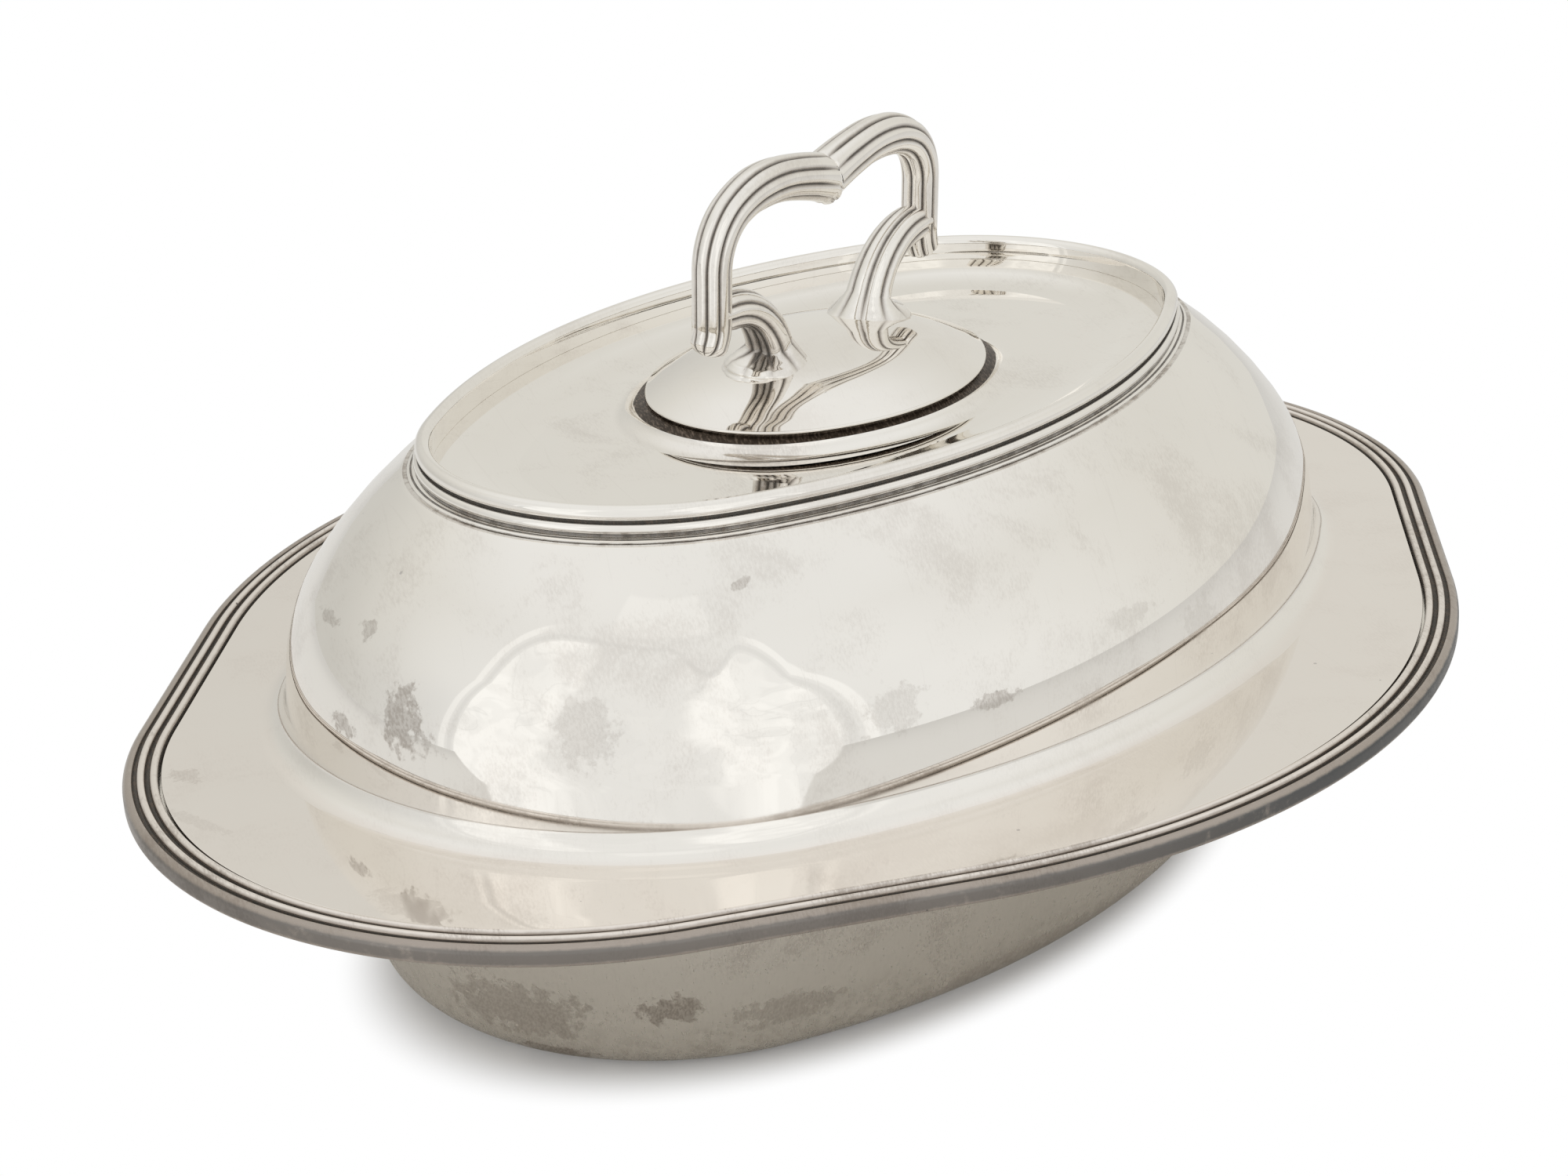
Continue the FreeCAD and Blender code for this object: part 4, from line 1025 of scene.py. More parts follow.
def foot_path(handle, leg_end):
    """Right foot, out of the leg, over and down, spreading to its base."""
    start = (leg_end[0], leg_end[1] + handle.foot_height)
    walk = walked(start, 180.0, FOOT_BOWS, 12)
    stations = []
    for x, z, heading, along in walk:
        spread = between(FOOT_SPREAD, along * FOOT_STEPS)
        radius = handle.foot_neck + (handle.foot_base - handle.foot_neck) * spread
        # A fine ring where the foot stands on the disc
        radius -= 0.4 * MM * max(0.0, 1.0 - abs(along - 3.5) / 0.12)
        hollow = min(1.0, max(0.0, (along - 1.15) / 0.5)) * min(1.0, max(0.0, (2.6 - along) / 0.6))
        stations.append((x, z, heading, radius, 1.0 - 0.85 * spread, hollow))
    first, last = stations[0], stations[-1]
    angle = math.radians(last[2])
    end = (last[0] + CLOSING * math.cos(angle), last[1] + CLOSING * math.sin(angle))
    stations.append((*end, last[2], 0.0, 0.15, 0.0))
    stations.insert(0, (first[0] + CLOSING, first[1], first[2], 0.0, 1.0, 0.0))
    return path_mesh("foot_path", stations)


# Shared shapes


def cover_levels(cover):
    """Out and up of the shoulder, and level of the sunk top."""
    one, two = cover.lower_turn, cover.upper_turn
    out = (
        cover.dome_reach - cover.lower_radius * (1 - math.cos(one))
        - cover.upper_radius * (math.cos(one) - math.cos(two)) - cover.shoulder * math.cos(two)
    )
    top = (
        cover.rim + cover.flange_bend + cover.lower_radius * math.sin(one)
        + cover.upper_radius * (math.sin(two) - math.sin(one)) + cover.shoulder * (1 - math.sin(two))
    )
    return out, top, top - cover.sink_depth


def eased_wall(foot, lean, join, slope):
    """Where the straight foot of the wall meets its lower curve, and that curve's radius."""
    low = Vector((-math.sin(lean), math.cos(lean)))
    high = Vector((-math.sin(slope), math.cos(slope)))
    span = Vector(join) - Vector(foot)
    cross = low.x * high.y - low.y * high.x
    along = (span.x * high.y - span.y * high.x) / cross
    back = (low.x * span.y - low.y * span.x) / cross
    start = Vector(foot) + low * (along - back)
    return start, back / math.tan((slope - lean) / 2)


def keyhole(handle):
    """Outline of the stud's round hole and the slot for its pin."""
    wide, long, radius = handle.slot_half_width, handle.slot_reach, handle.stud_hole
    edge = math.asin(wide / radius)
    points, steps = [], 12
    for side in (1, -1):
        points.append((side * wide, -side * long))
        for number in range(steps + 1):
            angle = -side * math.pi / 2 + edge + (math.pi - 2 * edge) * number / steps
            points.append((radius * math.cos(angle), radius * math.sin(angle)))
        points.append((side * wide, side * long))
    return points


def keyhole_wall(skin, handle, low, high):
    """Wall of the keyhole through a sheet, facing into the hole."""
    points = keyhole(handle)
    for (ax, ay), (bx, by) in zip(points, points[1:] + points[:1]):
        normal = Vector((ay - by, bx - ax, 0.0)).normalized()
        corners = ((bx, by, low), (ax, ay, low), (ax, ay, high), (bx, by, high))
        skin.face([(corner, tuple(normal), 0.0) for corner in corners])


def smooth_levels(levels, steps):
    """A smooth run through (share, rise) levels."""
    points = [Vector(level) for level in levels]
    padded = [points[0] * 2 - points[1], *points, points[-1] * 2 - points[-2]]
    result = []
    for number in range(1, len(padded) - 2):
        a, b, c, d = padded[number - 1:number + 3]
        for step in range(steps):
            t = step / steps
            bend, twist = 2 * a - 5 * b + 4 * c - d, 3 * b - a - 3 * c + d
            result.append(0.5 * (2 * b + (c - a) * t + bend * t**2 + twist * t**3))
    return [*result, points[-1]]


DISC_LEVELS = ((1.0, 0.0), (0.92, 0.2), (0.78, 0.5), (0.6, 0.76), (0.4, 0.91), (0.16, 1.0), (0.0, 1.0))


def stance(handle, disc_top):
    """Place of the castings: leaning at the disc's top, shifted, and turned with the handle."""
    rise = Matrix.Translation((0.0, 0.0, disc_top))
    lean = rise @ Matrix.Rotation(handle.lean, 4, "X") @ rise.inverted()
    return Matrix.Rotation(handle.hand_turn, 4, "Z") @ Matrix.Translation((handle.shift, 0.0, 0.0)) @ lean


def sunk_into(mesh, ground, depth):
    """Lift the points that lie deeper than this under the ground back to that depth."""
    for point in mesh.vertices:
        above = Vector((point.co.x, point.co.y, 0.2))
        hit = ground.ray_cast(above, Vector((0.0, 0.0, -1.0)))[0]
        if hit is not None and point.co.z < hit.z - depth:
            point.co.z = hit.z - depth


# Operators


class DISH_OT_well(Operator):
    """Well of the dish: floor, wall and flange in one sheet"""

    bl_idname = "dish.well"
    bl_label = "Well"

    def execute(self, context):
        settings = context.scene.covered_dish
        well, finish = settings.well, settings.finish
        slant = math.hypot(well.flange_under, well.wall_spread)
        sine, cosine = well.flange_under / slant, well.wall_spread / slant
        half_turn = (slant - well.wall_spread) / well.flange_under
        corner, bend = well.floor_corner * half_turn, well.rim_bend * half_turn
        low = (corner * cosine, corner * sine)
        high = (well.wall_spread - bend * cosine, well.flange_under - bend * sine)
        flange = well.wall_spread + bend
        level = well.flange_under + well.metal
        inwards, upwards = -well.metal * sine, well.metal * cosine
        outside = [
            (-corner, 0.0, well.floor_corner, 1), low,
            (*high, well.rim_bend, -1), (flange, well.flange_under),
        ]
        inside = [
            (flange, level, well.rim_bend + well.metal, 1), (high[0] + inwards, high[1] + upwards),
            (low[0] + inwards, low[1] + upwards, well.floor_corner - well.metal, -1), (-corner, well.metal),
        ]
        oval = ring_of(oval_arcs(well.half_length, well.half_width, well.end_radius))
        plan = ring_of(eight_sided_arcs(settings.outline))
        skin = Skin()
        for section in (outside, inside):
            skin.sweep(oval, dressed(drawn(section)))
        skin.flat([grown(oval, -corner)], 0.0, -1)
        skin.flat([grown(oval, -corner)], well.metal, 1)
        skin.flat([grown(oval, flange), grown(plan, well.flange_reach)], well.flange_under, -1)
        skin.flat([grown(oval, flange), grown(plan, well.flange_reach)], level, 1)
        skin.sweep(plan, dressed(drawn([(well.flange_reach, well.flange_under), (well.flange_reach, level)])))

        def shade(maker, place, grain, cloud):
            """Tarnish in patches, with painted shade that darkens the well towards the table."""
            height = maker.part(place, "Z")
            low_down = maker.smooth(height + (cloud - 0.5) * 0.06, 0.016, -0.004)
            return low_down * maker.smooth(grain * 0.5 + cloud * 0.6, 0.36, 0.72) * 0.62

        material = plate(
            "brushed_plate", finish.worn, finish, 0.2, wave=1.2, stain=0.28, bloom=0.1, brushed=1.0,
            spots=SPOTS_ON_WELL, shades=((shade, finish.tarnish, 0.15),),
        )
        placed("dish_well", skin.mesh("dish_well"), "dish", ["dish_bowl"], material)
        return {"FINISHED"}


class DISH_OT_border(Operator):
    """Reeded border round the dish's flange"""

    bl_idname = "dish.border"
    bl_label = "Border"

    def execute(self, context):
        settings = context.scene.covered_dish
        border, finish = settings.border, settings.finish
        points = [(*point[:2], 0.0) for point in ring_of(eight_sided_arcs(settings.outline))]
        path = bpy.data.meshes.new("border_path")
        path.from_pydata(points, [(step, (step + 1) % len(points)) for step in range(len(points))], [])

        def side(maker, place, grain, cloud):
            """Blue-grey tarnish on the outer side, worn off at the lower lip and thinner to the left."""
            height, out = maker.part(place, "Z") + (grain - 0.5) * 0.5 * MM, maker.part(place, "X")
            band = maker.smooth(height, border.crown - 0.05 * MM, border.crown - 0.6 * MM)
            band = band * maker.smooth(height, border.under + 0.2 * MM, border.under + 1.0 * MM)
            ragged = maker.smooth(grain * 0.5 + cloud * 0.5, 0.2, 0.45)
            return band * (0.6 + maker.smooth(out, -0.1, 0.0) * 0.37) * ragged

        def dark_reflection_between_crests(maker, place, grain, cloud):
            """Painted dark reflection: grey on the reeds' steep sides under the bright crests, where the
            plate mirrors the darker floor.
            """
            height = maker.part(place, "Z") + (grain - 0.5) * 0.25 * MM
            return maker.smooth(height, border.crown + 0.6 * MM, border.crown + 0.2 * MM) * 0.75

        material = plate(
            "border_plate", finish.rosy, finish, 0.1, wave=0.4, stain=0.55, bloom=0.2, pits=0.7,
            shades=((dark_reflection_between_crests, finish.tarnish, 0.15), (side, finish.steel, 0.15)),
        )
        values = {label: getattr(border, key) for label, key in BORDER_SIZES.items()}
        values.update({"Reeds": border.reeds, "Material": material})
        mesh = run_tree("dish_reeded_border", path, border_tree(), values)
        placed("dish_reeded_border", mesh, "dish", ["dish_border"], material)
        return {"FINISHED"}


class DISH_OT_cover(Operator):
    """Cover: flange, wall, shoulder and sunk top in one sheet"""

    bl_idname = "dish.cover"
    bl_label = "Cover"

    def execute(self, context):
        settings = context.scene.covered_dish
        cover, finish = settings.cover, settings.finish
        shoulder, top, sunk = cover_levels(cover)
        one, two = cover.lower_turn, cover.upper_turn
        flange, inner = cover.dome_reach + cover.flange_bend, shoulder - cover.top_band - cover.sink_width
        lean = Vector((math.cos(cover.foot_lean), math.sin(cover.foot_lean)))
        foot = Vector((flange, cover.rim + cover.flange_bend)) - lean * cover.flange_bend
        join = (
            cover.dome_reach - cover.lower_radius * (1 - math.cos(one)),
            cover.rim + cover.flange_bend + cover.lower_radius * math.sin(one),
        )
        start, lower = eased_wall(foot, cover.foot_lean, join, one)
        brow = (shoulder + cover.shoulder * math.cos(two), top - cover.shoulder * (1 - math.sin(two)))
        metal = cover.metal
        # Radius at which the slope comes down level with the sunk top
        sink = (cover.sink_width**2 + cover.sink_depth**2) / (2 * cover.sink_depth)
        outside = [
            (flange, cover.rim, cover.flange_bend, -1), tuple(foot), (*start, lower, 1),
            (*join, cover.upper_radius, 1), (*brow, cover.shoulder, 1), (shoulder, top),
            (shoulder - cover.top_band, top, sink, -1), (inner, sunk),
        ]
        inside = [
            (inner, sunk - metal, sink + metal, 1), (shoulder - cover.top_band, top - metal),
            (shoulder, top - metal, cover.shoulder - metal, -1),
            (brow[0] - metal * math.cos(two), brow[1] - metal * math.sin(two),
             cover.upper_radius - metal, -1),
            (join[0] - metal * math.cos(one), join[1] - metal * math.sin(one), lower - metal, -1),
            tuple(start - lean * metal), (*(foot - lean * metal), cover.flange_bend + metal, 1),
            (flange, cover.rim - metal),
        ]
        # Width of the flange that its rounded edge takes up
        band = 0.4 * MM
        edge = [(-band, cover.rim - metal), (0.0, cover.rim - metal), (0.0, cover.rim), (-band, cover.rim)]
        oval = ring_of(oval_arcs(cover.half_length, cover.half_width, cover.end_radius))
        plan = ring_of(eight_sided_arcs(settings.outline))
        skin = Skin()
        for section in (outside, inside):
            skin.sweep(oval, dressed(drawn(section)))
        skin.sweep(plan, dressed(drawn(edge, ease=0.3 * MM)))
        for level, facing in ((cover.rim, 1), (cover.rim - metal, -1)):
            skin.flat([grown(oval, flange), grown(plan, -band)], level, facing)
        for level, facing in ((sunk, 1), (sunk - metal, -1)):
            skin.flat([grown(oval, inner), keyhole(settings.handle)], level, facing)
        keyhole_wall(skin, settings.handle, sunk - metal, sunk)

        def warmth(maker, place, grain, cloud):
            """Rosy bloom of the flange."""
            low_down = maker.smooth(maker.part(place, "Z"), cover.rim + 1.2 * MM, cover.rim + 0.2 * MM)
            return low_down * (0.45 + cloud * 0.3)

        def tide(maker, place, grain, cloud):
            """Soft wear where the wall meets the flange."""
            height = maker.part(place, "Z")
            above_flange = maker.smooth(height, cover.rim + 0.2 * MM, cover.rim + 1.0 * MM)
            return above_flange * maker.smooth(height, cover.rim + 7.5 * MM, cover.rim + 4.5 * MM) * 0.6

        material = plate(
            "polished_plate", finish.silver, finish, finish.gloss, wave=0.4, stain=0.16, pits=0.4,
            spots=SPOTS_ON_COVER, shades=((warmth, finish.rosy, 0.01), (tide, finish.silver, 0.12)),
        )
        placed("cover_sheet", skin.mesh("cover_sheet"), "cover", ["cover_dome"], material)
        return {"FINISHED"}


class DISH_OT_foot_ring(Operator):
    """Foot ring on the cover's shoulder, with two beads over a hollow band"""

    bl_idname = "dish.foot_ring"
    bl_label = "Foot ring"

    def execute(self, context):
        settings = context.scene.covered_dish
        cover, ring, finish = settings.cover, settings.ring, settings.finish
        shoulder, top, _ = cover_levels(cover)
        crest = top + ring.wall
        bead_end = (ring.bead * math.cos(ring.bead_turn), crest - ring.bead * math.sin(ring.bead_turn))
        groove_level = bead_end[1] - ring.groove
        lower = bead_end[0] + ring.set_out
        seam = (
            shoulder + cover.shoulder * math.sin(ring.seam_turn),
            top - cover.shoulder * (1 - math.cos(ring.seam_turn)),
        )
        corners = [
            (-ring.bead, top), (-ring.bead, crest, ring.bead, -1),
            (0.0, crest + ring.bead, ring.bead, -1), bead_end,
            (bead_end[0] - ring.groove_depth, bead_end[1]), (bead_end[0] - ring.groove_depth, groove_level),
            (lower, groove_level, ring.lower_bead, -1),
            (lower + ring.set_out, groove_level - ring.lower_height, ring.cove, 1),
            (seam[0] - ring.seam_width, seam[1] + ring.seam_height), (seam[0], seam[1] + ring.seam_height),
            (*seam, cover.shoulder, 1), (shoulder, top),
        ]
        oval = ring_of(oval_arcs(cover.half_length, cover.half_width, cover.end_radius))
        skin = Skin()
        section = turned_outwards(drawn(corners, ease=0.12 * MM, closed=True))
        skin.sweep(oval, dressed(section, closed=True, reach=0.9 * MM), closed=True)

        def shade(maker, place, grain, cloud):
            """Rosy brown tarnish on the outside of the hollow band."""
            height = maker.part(place, "Z")
            facing = maker.add("ShaderNodeNewGeometry", output="Normal")
            outwards = maker.smooth(maker.vector("DOT_PRODUCT", facing, place, output="Value"), 0.0, 0.02)
            band = maker.smooth(abs(height - (top - 0.2 * MM)), 1.1 * MM, 0.6 * MM)
            return band * outwards * (0.3 + maker.smooth(grain * 0.6 + cloud * 0.4, 0.46, 0.58) * 0.45)

        material = plate(
            "ring_plate", finish.silver, finish, finish.gloss, wave=0.4, stain=0.1, pits=0.3,
            shades=((shade, finish.tarnish, 0.15),),
        )
        mesh = skin.mesh("cover_ring")
        placed("cover_ring", mesh, "cover", ["cover_foot_ring"], material)
        return {"FINISHED"}


class DISH_OT_plinth(Operator):
    """Low plinth under the handle"""

    bl_idname = "dish.plinth"
    bl_label = "Plinth"

    def execute(self, context):
        settings = context.scene.covered_dish
        cover, handle, finish = settings.cover, settings.handle, settings.finish
        _, _, sunk = cover_levels(cover)
        high = sunk + handle.plinth_height
        inner = -0.8 * MM
        # The hollow foot is a bow that ends before it stands upright
        width, height = handle.plinth_flare - handle.ledge_width, handle.plinth_height - handle.ledge_fall
        steepest, steps = 80, 14
        sine, cosine = math.sin(math.radians(steepest)), math.cos(math.radians(steepest))
        cove = []
        for number in range(1, steps + 1):
            angle = math.radians(steepest * number / steps)
            out = width * (1 - math.sin(angle) / sine)
            up = height * ((1 - math.cos(angle)) / (1 - cosine))
            cove.append((handle.ledge_width + out, sunk + up))
        corners = [(inner, sunk), (handle.plinth_flare, sunk), *cove, (0.0, high), (inner, high)]
        arcs = oval_arcs(handle.plinth_half_length, handle.plinth_half_width, handle.plinth_end_radius)
        oval = ring_of(arcs)
        skin = Skin()
        skin.sweep(oval, dressed(drawn(corners, ease=0.1 * MM), reach=1.0 * MM))
        for level, facing in ((sunk, -1), (high, 1)):
            skin.flat([grown(oval, inner), keyhole(handle)], level, facing)
        keyhole_wall(skin, handle, sunk, high)

        # The ledge under the disc's edge is painted near-black: painted shadow of the gap under the disc
        for number, (_, _, up) in enumerate(skin.points):
            skin.depths[number] = DARK_FILL * float(up > high - handle.ledge_fall - 0.01 * MM)
        material = plate(
            "plinth_plate", finish.silver, finish, 0.06, wave=0.4, stain=0.2, bloom=0.2, pits=0.3,
            soil=finish.soot_and_shadow,
        )
        mesh = skin.mesh("cover_plinth")
        placed("cover_plinth", mesh, "cover", ["handle_plinth"], material)
        return {"FINISHED"}


class DISH_OT_disc(Operator):
    """Domed disc of the handle, with a bead along its edge"""

    bl_idname = "dish.disc"
    bl_label = "Disc"

    def execute(self, context):
        settings = context.scene.covered_dish
        handle, finish = settings.handle, settings.finish
        _, _, sunk = cover_levels(settings.cover)
        under = sunk + handle.plinth_height + handle.disc_gap
        edge = under + handle.disc_edge
        bead = handle.disc_bead
        arcs = oval_arcs(handle.disc_half_length, handle.disc_half_width, handle.disc_end_radius)
        oval = ring_of(arcs, 1.0 * MM)

        def levels(shrink, foot, drop, flipped):
            """Rows of the dome's skin from its edge to its top."""
            rows = []
            for part, rise in smooth_levels(DISC_LEVELS, 6):
                level = max(foot, edge - drop + handle.disc_rise * min(rise, 1.0))
                rows.append([Vector((x * part, y * part, level)) for x, y in grown(oval, -shrink)])
            rows[0] = [Vector((point.x, point.y, foot)) for point in rows[0]]
            return rows[::-1] if flipped else rows

        skin = Skin()
        low = edge - 2 * bead
        rim = [
            (-bead - handle.disc_metal, under), (-1.6 * bead, under), (-0.9 * bead, low),
            (-bead, low, bead, 1), (0.0, low + bead, bead, 1), (-bead, edge),
        ]
        skin.sweep(oval, dressed(drawn(rim), reach=0.8 * MM))
        skin.rows(levels(bead, edge, 0.0, False), (0.0, 0.0, 1.0))
        skin.rows(levels(bead + handle.disc_metal, under, handle.disc_metal, True), (0.0, 0.0, -1.0))
        mesh = skin.mesh("handle_disc")
        mesh.transform(Matrix.Rotation(handle.hand_turn, 4, "Z"))
        # The hollow under the disc's bead takes the same near-black: painted shade under the disc's edge
        material = plate(
            "disc_plate", finish.silver, finish, finish.gloss, wave=0.8, stain=0.05, bloom=0.1, pits=0.25,
            soil=finish.soot_and_shadow,
        )
        placed("handle_disc", mesh, "handle", ["handle_base_disc"], material)
        return {"FINISHED"}


class DISH_OT_castings(Operator):
    """Two fluted scrolls and the two feet that carry them"""

    bl_idname = "dish.castings"
    bl_label = "Scrolls and feet"

    def execute(self, context):
        settings = context.scene.covered_dish
        handle, finish = settings.handle, settings.finish
        _, _, sunk = cover_levels(settings.cover)
        disc_top = sunk + handle.plinth_height + handle.disc_gap + handle.disc_edge + handle.disc_rise

        def flanks(maker, place, grain, cloud):
            """Brown tarnish that spreads out of the flutes and the hollow feet."""
            groove = maker.add("ShaderNodeAttribute", {"attribute_name": "groove"}, output="Fac")
            return maker.smooth(groove + (grain - 0.5) * 0.1, 0.03, 0.4) * 0.62

        material = plate(
            "cast_plate", finish.silver, finish, 0.035, wave=0.4, stain=0.15, bloom=0.1, pits=0.6,
            shades=((flanks, finish.tarnish, 0.15),),
        )
        tree = casting_tree()
        values = {
            "Flutes": handle.flutes, "Steps per Flute": 14, "Flute Depth": handle.flute_depth,
            "Groove Power": 3.4, "Hollow Depth": 0.0, "Hollow Width": 0.12,
            "Across": (0.0, 1.0, 0.0), "Trim": 0.0, "Material": material,
        }
        path, leg_end = scroll_path(handle)
        scroll = run_tree("scroll_casting", path, tree, values)
        values.update({
            "Across": (0.0, -1.0, 0.0), "Hollow Depth": 0.6, "Hollow Width": 0.17, "Groove Power": 3.0,
        })
        foot = run_tree("foot_casting", foot_path(handle, leg_end), tree, values)
        disc = BVHTree.FromObject(bpy.data.objects["handle_disc"], context.evaluated_depsgraph_get())
        place = stance(handle, disc_top)
        for kind, mesh in (("scroll", scroll), ("foot", foot)):
            for side, spin in (("right", 0.0), ("left", math.pi)):
                piece = mesh.copy()
                piece.transform(place @ Matrix.Rotation(spin, 4, "Z"))
                if kind == "foot":
                    sunk_into(piece, disc, 0.3 * MM)
                name, node = f"handle_{kind}_casting_{side}", f"handle_{kind}_{side}"
                placed(name, piece, "handle", [node], material)
        return {"FINISHED"}


class DISH_OT_lock(Operator):
    """Brass finish of the hidden lock plate, stud and cross pin"""

    bl_idname = "dish.lock"
    bl_label = "Lock"

    def execute(self, context):
        finish = context.scene.covered_dish.finish
        material = plate("old_brass", finish.brass, finish, 0.24, wave=0.2, stain=0.6, pits=0.6, brushed=0.4)
        for name in ("lock_plate", "bayonet_stud", "bayonet_cross_pin"):
            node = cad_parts[name]
            if not node.material_slots:
                node.data.materials.append(material)
            for slot in node.material_slots:
                slot.material = material
        return {"FINISHED"}


class DISH_OT_studio(Operator):
    """Seamless floor, white tent, overhead panel and camera"""

    bl_idname = "dish.studio"
    bl_label = "Studio"

    def execute(self, context):
        studio = context.scene.covered_dish.studio
        self.floor(context, studio)
        self.tent(context, studio)
        self.overhead(context, studio)
        self.camera(context, studio)
        context.scene.view_settings.view_transform = "Standard"
        return {"FINISHED"}

    def sheet(self, maker, look, towards):
        """The crumpled sheet round the camera, by direction of view from the dish: how far the view
        faces the camera, the angles round about and upwards, the sheet's light, the outline that
        darkens or brightens its edge, and the mask of its area."""
        ahead = (math.cos(towards), math.sin(towards), 0.0)
        facing = maker.vector("DOT_PRODUCT", look, ahead, output="Value")
        across = (-math.sin(towards), math.cos(towards), 0.0)
        beside = maker.vector("DOT_PRODUCT", look, across, output="Value")
        round_about = maker.maths("ARCTAN2", beside, facing) * (180 / math.pi)
        upwards = maker.maths("ARCSINE", maker.part(look, "Z")) * (180 / math.pi)
        folds = maker.noise(look, 2.6, 3.0, 0.45, 0.9)
        creases = maker.noise(look, 4.5, 2.0, 0.5, 1.4)
        crumple = maker.smooth(folds, 0.36, 0.56) * 0.6 + maker.smooth(creases, 0.4, 0.56) * 0.4
        crumple = crumple - maker.smooth(abs(folds - 0.45), 0.012, 0.0) * 0.5
        # Place and reach of the sheet in degrees. It sags at the right of its middle
        middle, level, wide, high, deep, roundness = -10.0, 15.0, 53.0, 41.0, 34.0, 4.5
        lifted = upwards - level + maker.smooth(abs(round_about - 16.0), 16.0, 0.0) * 7.0
        tall = maker.maths("MAXIMUM", lifted / high, lifted / -deep)
        edge = (abs((round_about - middle) / wide) ** roundness) + (tall ** roundness)
        sides = maker.smooth(abs(round_about - middle), 40.0, 50.0)
        rim = maker.smooth(abs(edge - 1.14), 0.09, 0.04)
        rim = rim - maker.smooth(abs(edge - 1.42), 0.15, 0.08) * sides * 2.2
        wings = maker.maths(
            "MAXIMUM", maker.smooth(round_about + (folds - 0.5) * 50.0, -26.0, -36.0),
            maker.smooth(round_about + (folds - 0.5) * 40.0, 4.0, 18.0),
        )
        paper = 0.84 + crumple * 0.03 + wings * (0.06 + crumple * 0.1)
        return facing, round_about, upwards, paper, rim, maker.smooth(edge, 1.03, 0.98)

    def floor(self, context, studio):
        """Wide sheet of pale paper."""
        reach, level = 6.0, -0.05 * MM
        corners = [(x * reach, y * reach, level) for x, y in ((-1, -1), (1, -1), (1, 1), (-1, 1))]
        mesh = bpy.data.meshes.new("paper_floor")
        mesh.from_pydata(corners, [], [(0, 1, 2, 3)])
        floor = bpy.data.objects.new("paper_floor", mesh)
        context.scene.collection.objects.link(floor)
        material, maker = new_material("white_paper")
        camera_ray, glossy_ray = maker.rays()
        place = maker.add("ShaderNodeTexCoord", output="Object")
        fibre = maker.noise(place, 900.0, 3.0)
        paper = maker.blend(fibre * 0.02, rgba(studio.floor), (0.8, 0.8, 0.79, 1.0))
        far = maker.smooth(maker.vector("LENGTH", place, output="Value"), 0.18, 0.36)
        tints = ((1.0, 0.97, 0.93), (0.96, 0.95, 0.92))
        shade = maker.blend(far, *(rgba([studio.shade * part for part in tint]) for tint in tints))
        lit = maker.add("ShaderNodeBsdfPrincipled", None, {
            "Base Color": maker.blend(glossy_ray, paper, shade), "Roughness": 1.0, "Specular IOR Level": 0.0,
        })
        # The crumpled sheet goes on over the floor, seen from the cover's front
        towards, out, up = math.radians(-90) + studio.azimuth, 0.1, 0.07
        front = (out * math.cos(towards), out * math.sin(towards), up)
        look = maker.vector("NORMALIZE", maker.vector("SUBTRACT", place, front))
        _, _, _, light, _, inside = self.sheet(maker, look, towards)
        crumpled = maker.add("ShaderNodeEmission", None, {"Color": maker.scaled((1.0, 1.0, 0.985), light)})
        shader = maker.add("ShaderNodeMixShader", None, {0: inside * glossy_ray * far, 1: lit, 2: crumpled})
        # Away from the dish the paper is plain white
        white = maker.add("ShaderNodeEmission", None, {"Color": (1.0, 1.0, 1.0, 1.0)})
        beyond = maker.vector("MULTIPLY_ADD", place, (1 / 0.105, 1 / 0.07, 0.0), (0.05, 0.0, 0.0))
        beyond = maker.vector("LENGTH", beyond, output="Value")
        plain = 0.1 + maker.smooth(beyond, 0.93, 1.09) * 0.9
        shader = maker.add("ShaderNodeMixShader", None, {0: plain * camera_ray, 1: shader, 2: white})
        maker.add("ShaderNodeOutputMaterial", None, {"Surface": shader})
        mesh.materials.append(material)

    def tent(self, context, studio):
        """White surround. Polished plate mirrors it with the crumpled sheet that hangs round the camera."""
        world = bpy.data.worlds.new("white_tent")
        world.use_nodes = True
        world.node_tree.nodes.clear()
        maker = Maker(world.node_tree)
        look = maker.add("ShaderNodeTexCoord", output="Generated")
        towards = math.radians(-90) + studio.azimuth
        facing, round_about, upwards, paper, rim, inside = self.sheet(maker, look, towards)
        broad = maker.noise(look, 1.1, 2.0)
        lift = maker.maths("MAXIMUM", maker.smooth(facing, -0.6, 0.5), maker.smooth(upwards, 25.0, 60.0))
        base = studio.surround + lift * studio.near_side + (broad - 0.5) * 0.12
        left = maker.smooth(round_about, -55.0, -75.0) * maker.smooth(round_about, -177.0, -167.0)
        left = left * maker.smooth(upwards, 40.0, 5.0)
        base = base - left * 0.12
        window = maker.smooth(abs(round_about + 3.0), 27.0, 24.0)
        window = window * maker.smooth(abs(upwards - 66.0), 6.5, 5.0)
        light = base * (1.0 - inside) + paper * inside - rim * 0.05 + window * 0.05
        camera_ray, glossy_ray = maker.rays()
        light = light * glossy_ray + (1.0 - glossy_ray) * studio.daylight
        light = light * (1.0 - camera_ray) + camera_ray
        warm = maker.blend(lift, (1.0, 0.985, 0.93, 1.0), (1.0, 1.0, 0.985, 1.0))
        tint = maker.blend(glossy_ray, (1.0, 1.0, 1.0, 1.0), warm)
        surround = maker.add("ShaderNodeBackground", None, {"Color": maker.scaled(tint, light)})
        maker.add("ShaderNodeOutputWorld", None, {"Surface": surround})
        context.scene.world = world

    def overhead(self, context, studio):
        """Large soft panel over the dish."""
        place, wide, deep = Vector((-0.25, 0.25, 1.35)), 1.3, 0.9
        lamp = bpy.data.lights.new("overhead_panel", "AREA")
        lamp.shape = "RECTANGLE"
        lamp.size, lamp.size_y = wide, deep
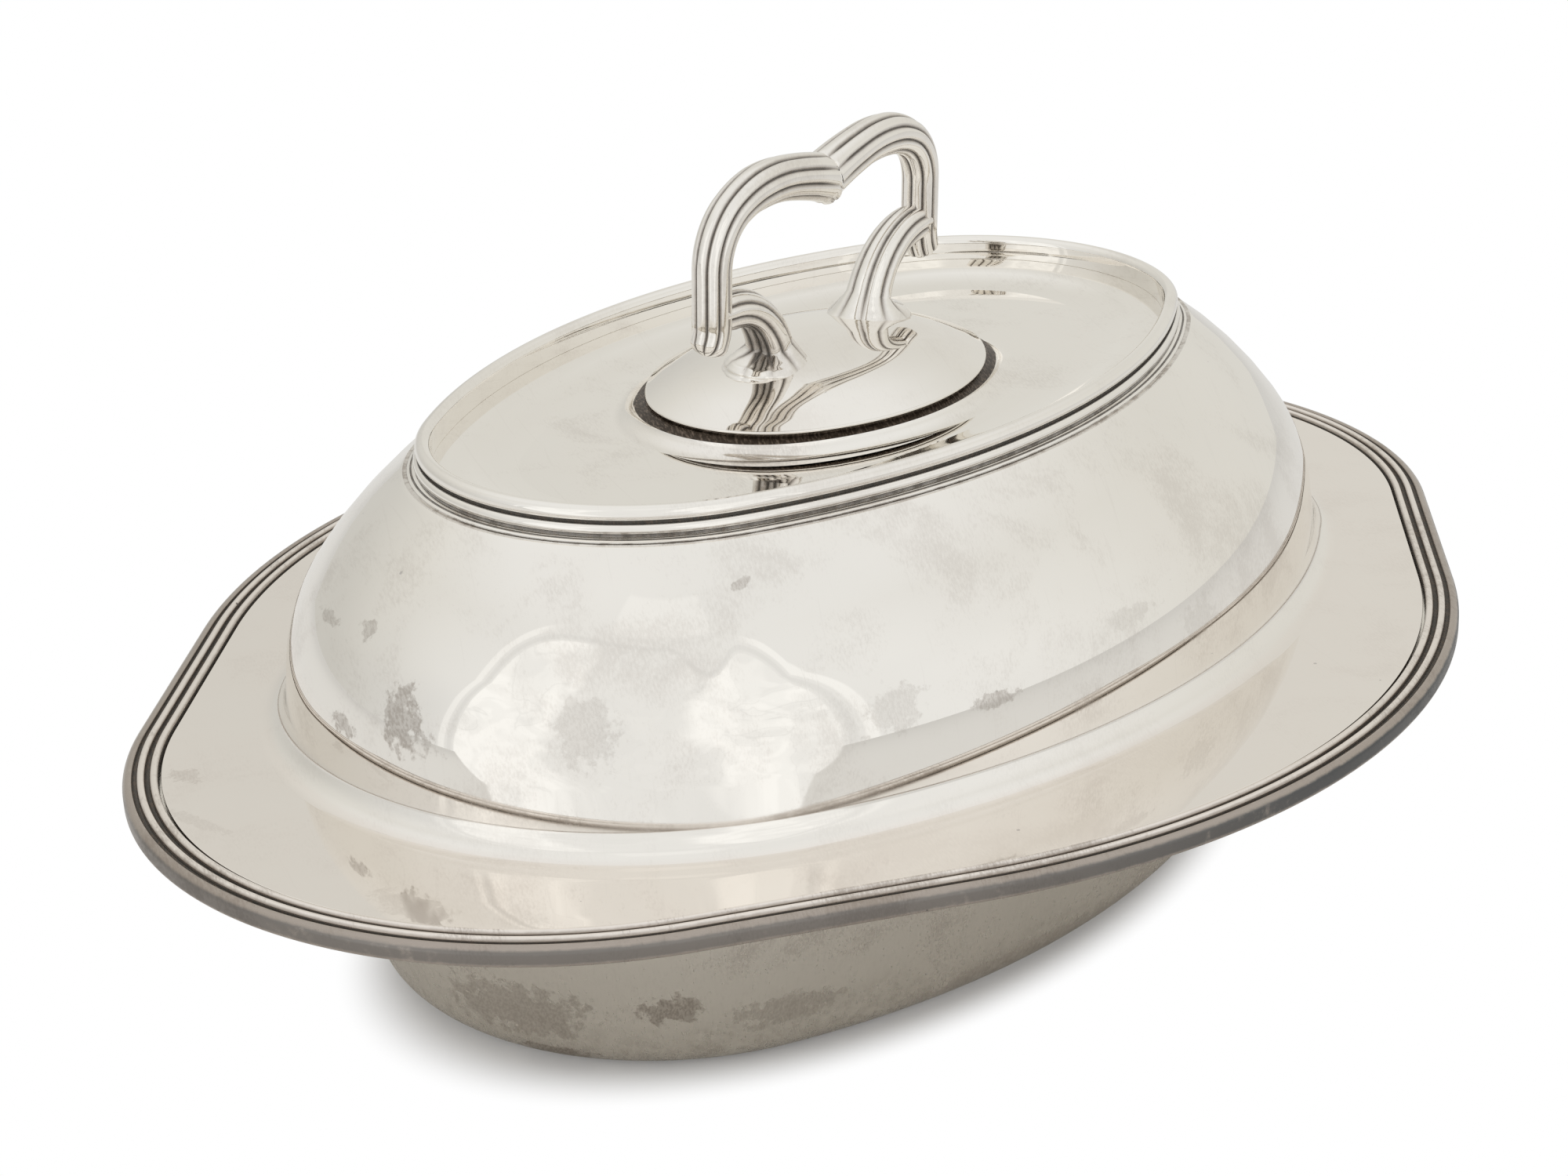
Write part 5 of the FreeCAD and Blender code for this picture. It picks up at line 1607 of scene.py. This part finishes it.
        # An area lamp's radiance is a quarter of its energy for each square metre
        lamp.energy = 4.0 * wide * deep * studio.lamp
        holder = bpy.data.objects.new("overhead_panel", lamp)
        holder.location = place
        holder.rotation_euler = place.to_track_quat("Z", "Y").to_euler()
        holder.visible_glossy = False
        context.scene.collection.objects.link(holder)

    def camera(self, context, studio):
        """Camera at the photograph's angle."""
        azimuth, elevation = studio.azimuth, studio.elevation
        right = Vector((math.cos(azimuth), math.sin(azimuth), 0.0))
        forward = Vector((
            -math.sin(azimuth) * math.cos(elevation),
            math.cos(azimuth) * math.cos(elevation),
            -math.sin(elevation),
        ))
        up = right.cross(forward)
        tilt, lift = math.cos(studio.roll), math.sin(studio.roll)
        axes = (right * tilt + up * lift, up * tilt - right * lift, -forward)
        data = bpy.data.cameras.new("camera")
        data.lens, data.sensor_width = studio.lens, 36.0
        data.shift_x, data.shift_y = studio.shift_x, studio.shift_y
        data.clip_start = 0.01
        camera = bpy.data.objects.new("camera", data)
        aim = Vector((0.0, 0.0, studio.aim_height))
        facing = Matrix(axes).transposed().to_4x4()
        camera.matrix_world = Matrix.Translation(aim - forward * studio.distance) @ facing
        context.scene.collection.objects.link(camera)
        context.scene.camera = camera


STEPS = ("well", "border", "cover", "foot_ring", "plinth", "disc", "castings", "lock", "studio")


class DISH_PT_pieces(Panel):
    """Lists the dish's pieces and their sizes"""

    bl_idname = "DISH_PT_pieces"
    bl_label = "Covered vegetable dish"
    bl_space_type = "VIEW_3D"
    bl_region_type = "UI"
    bl_category = "Dish"

    def draw(self, context):
        settings = context.scene.covered_dish
        for step in STEPS:
            self.layout.operator(f"dish.{step}")
        for label in ("outline", "well", "border", "cover", "ring", "handle", "finish", "studio"):
            box = self.layout.box()
            box.label(text=label.capitalize())
            group = getattr(settings, label)
            for name in group.bl_rna.properties.keys():
                if name not in ("rna_type", "name"):
                    box.prop(group, name)


CLASSES = (
    DishOutline, DishWell, DishBorder, DishCover, DishRing, DishHandle, DishFinish, DishStudio, DishSettings,
    DISH_OT_well, DISH_OT_border, DISH_OT_cover, DISH_OT_foot_ring, DISH_OT_plinth, DISH_OT_disc,
    DISH_OT_castings, DISH_OT_lock, DISH_OT_studio, DISH_PT_pieces,
)


def register():
    for cls in CLASSES:
        bpy.utils.register_class(cls)
    bpy.types.Scene.covered_dish = PointerProperty(type=DishSettings)


def unregister():
    del bpy.types.Scene.covered_dish
    for cls in reversed(CLASSES):
        bpy.utils.unregister_class(cls)


def main():
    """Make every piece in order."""
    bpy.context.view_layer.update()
    register()
    for step in STEPS:
        getattr(bpy.ops.dish, step)()


if __name__ == "__main__":
    main()
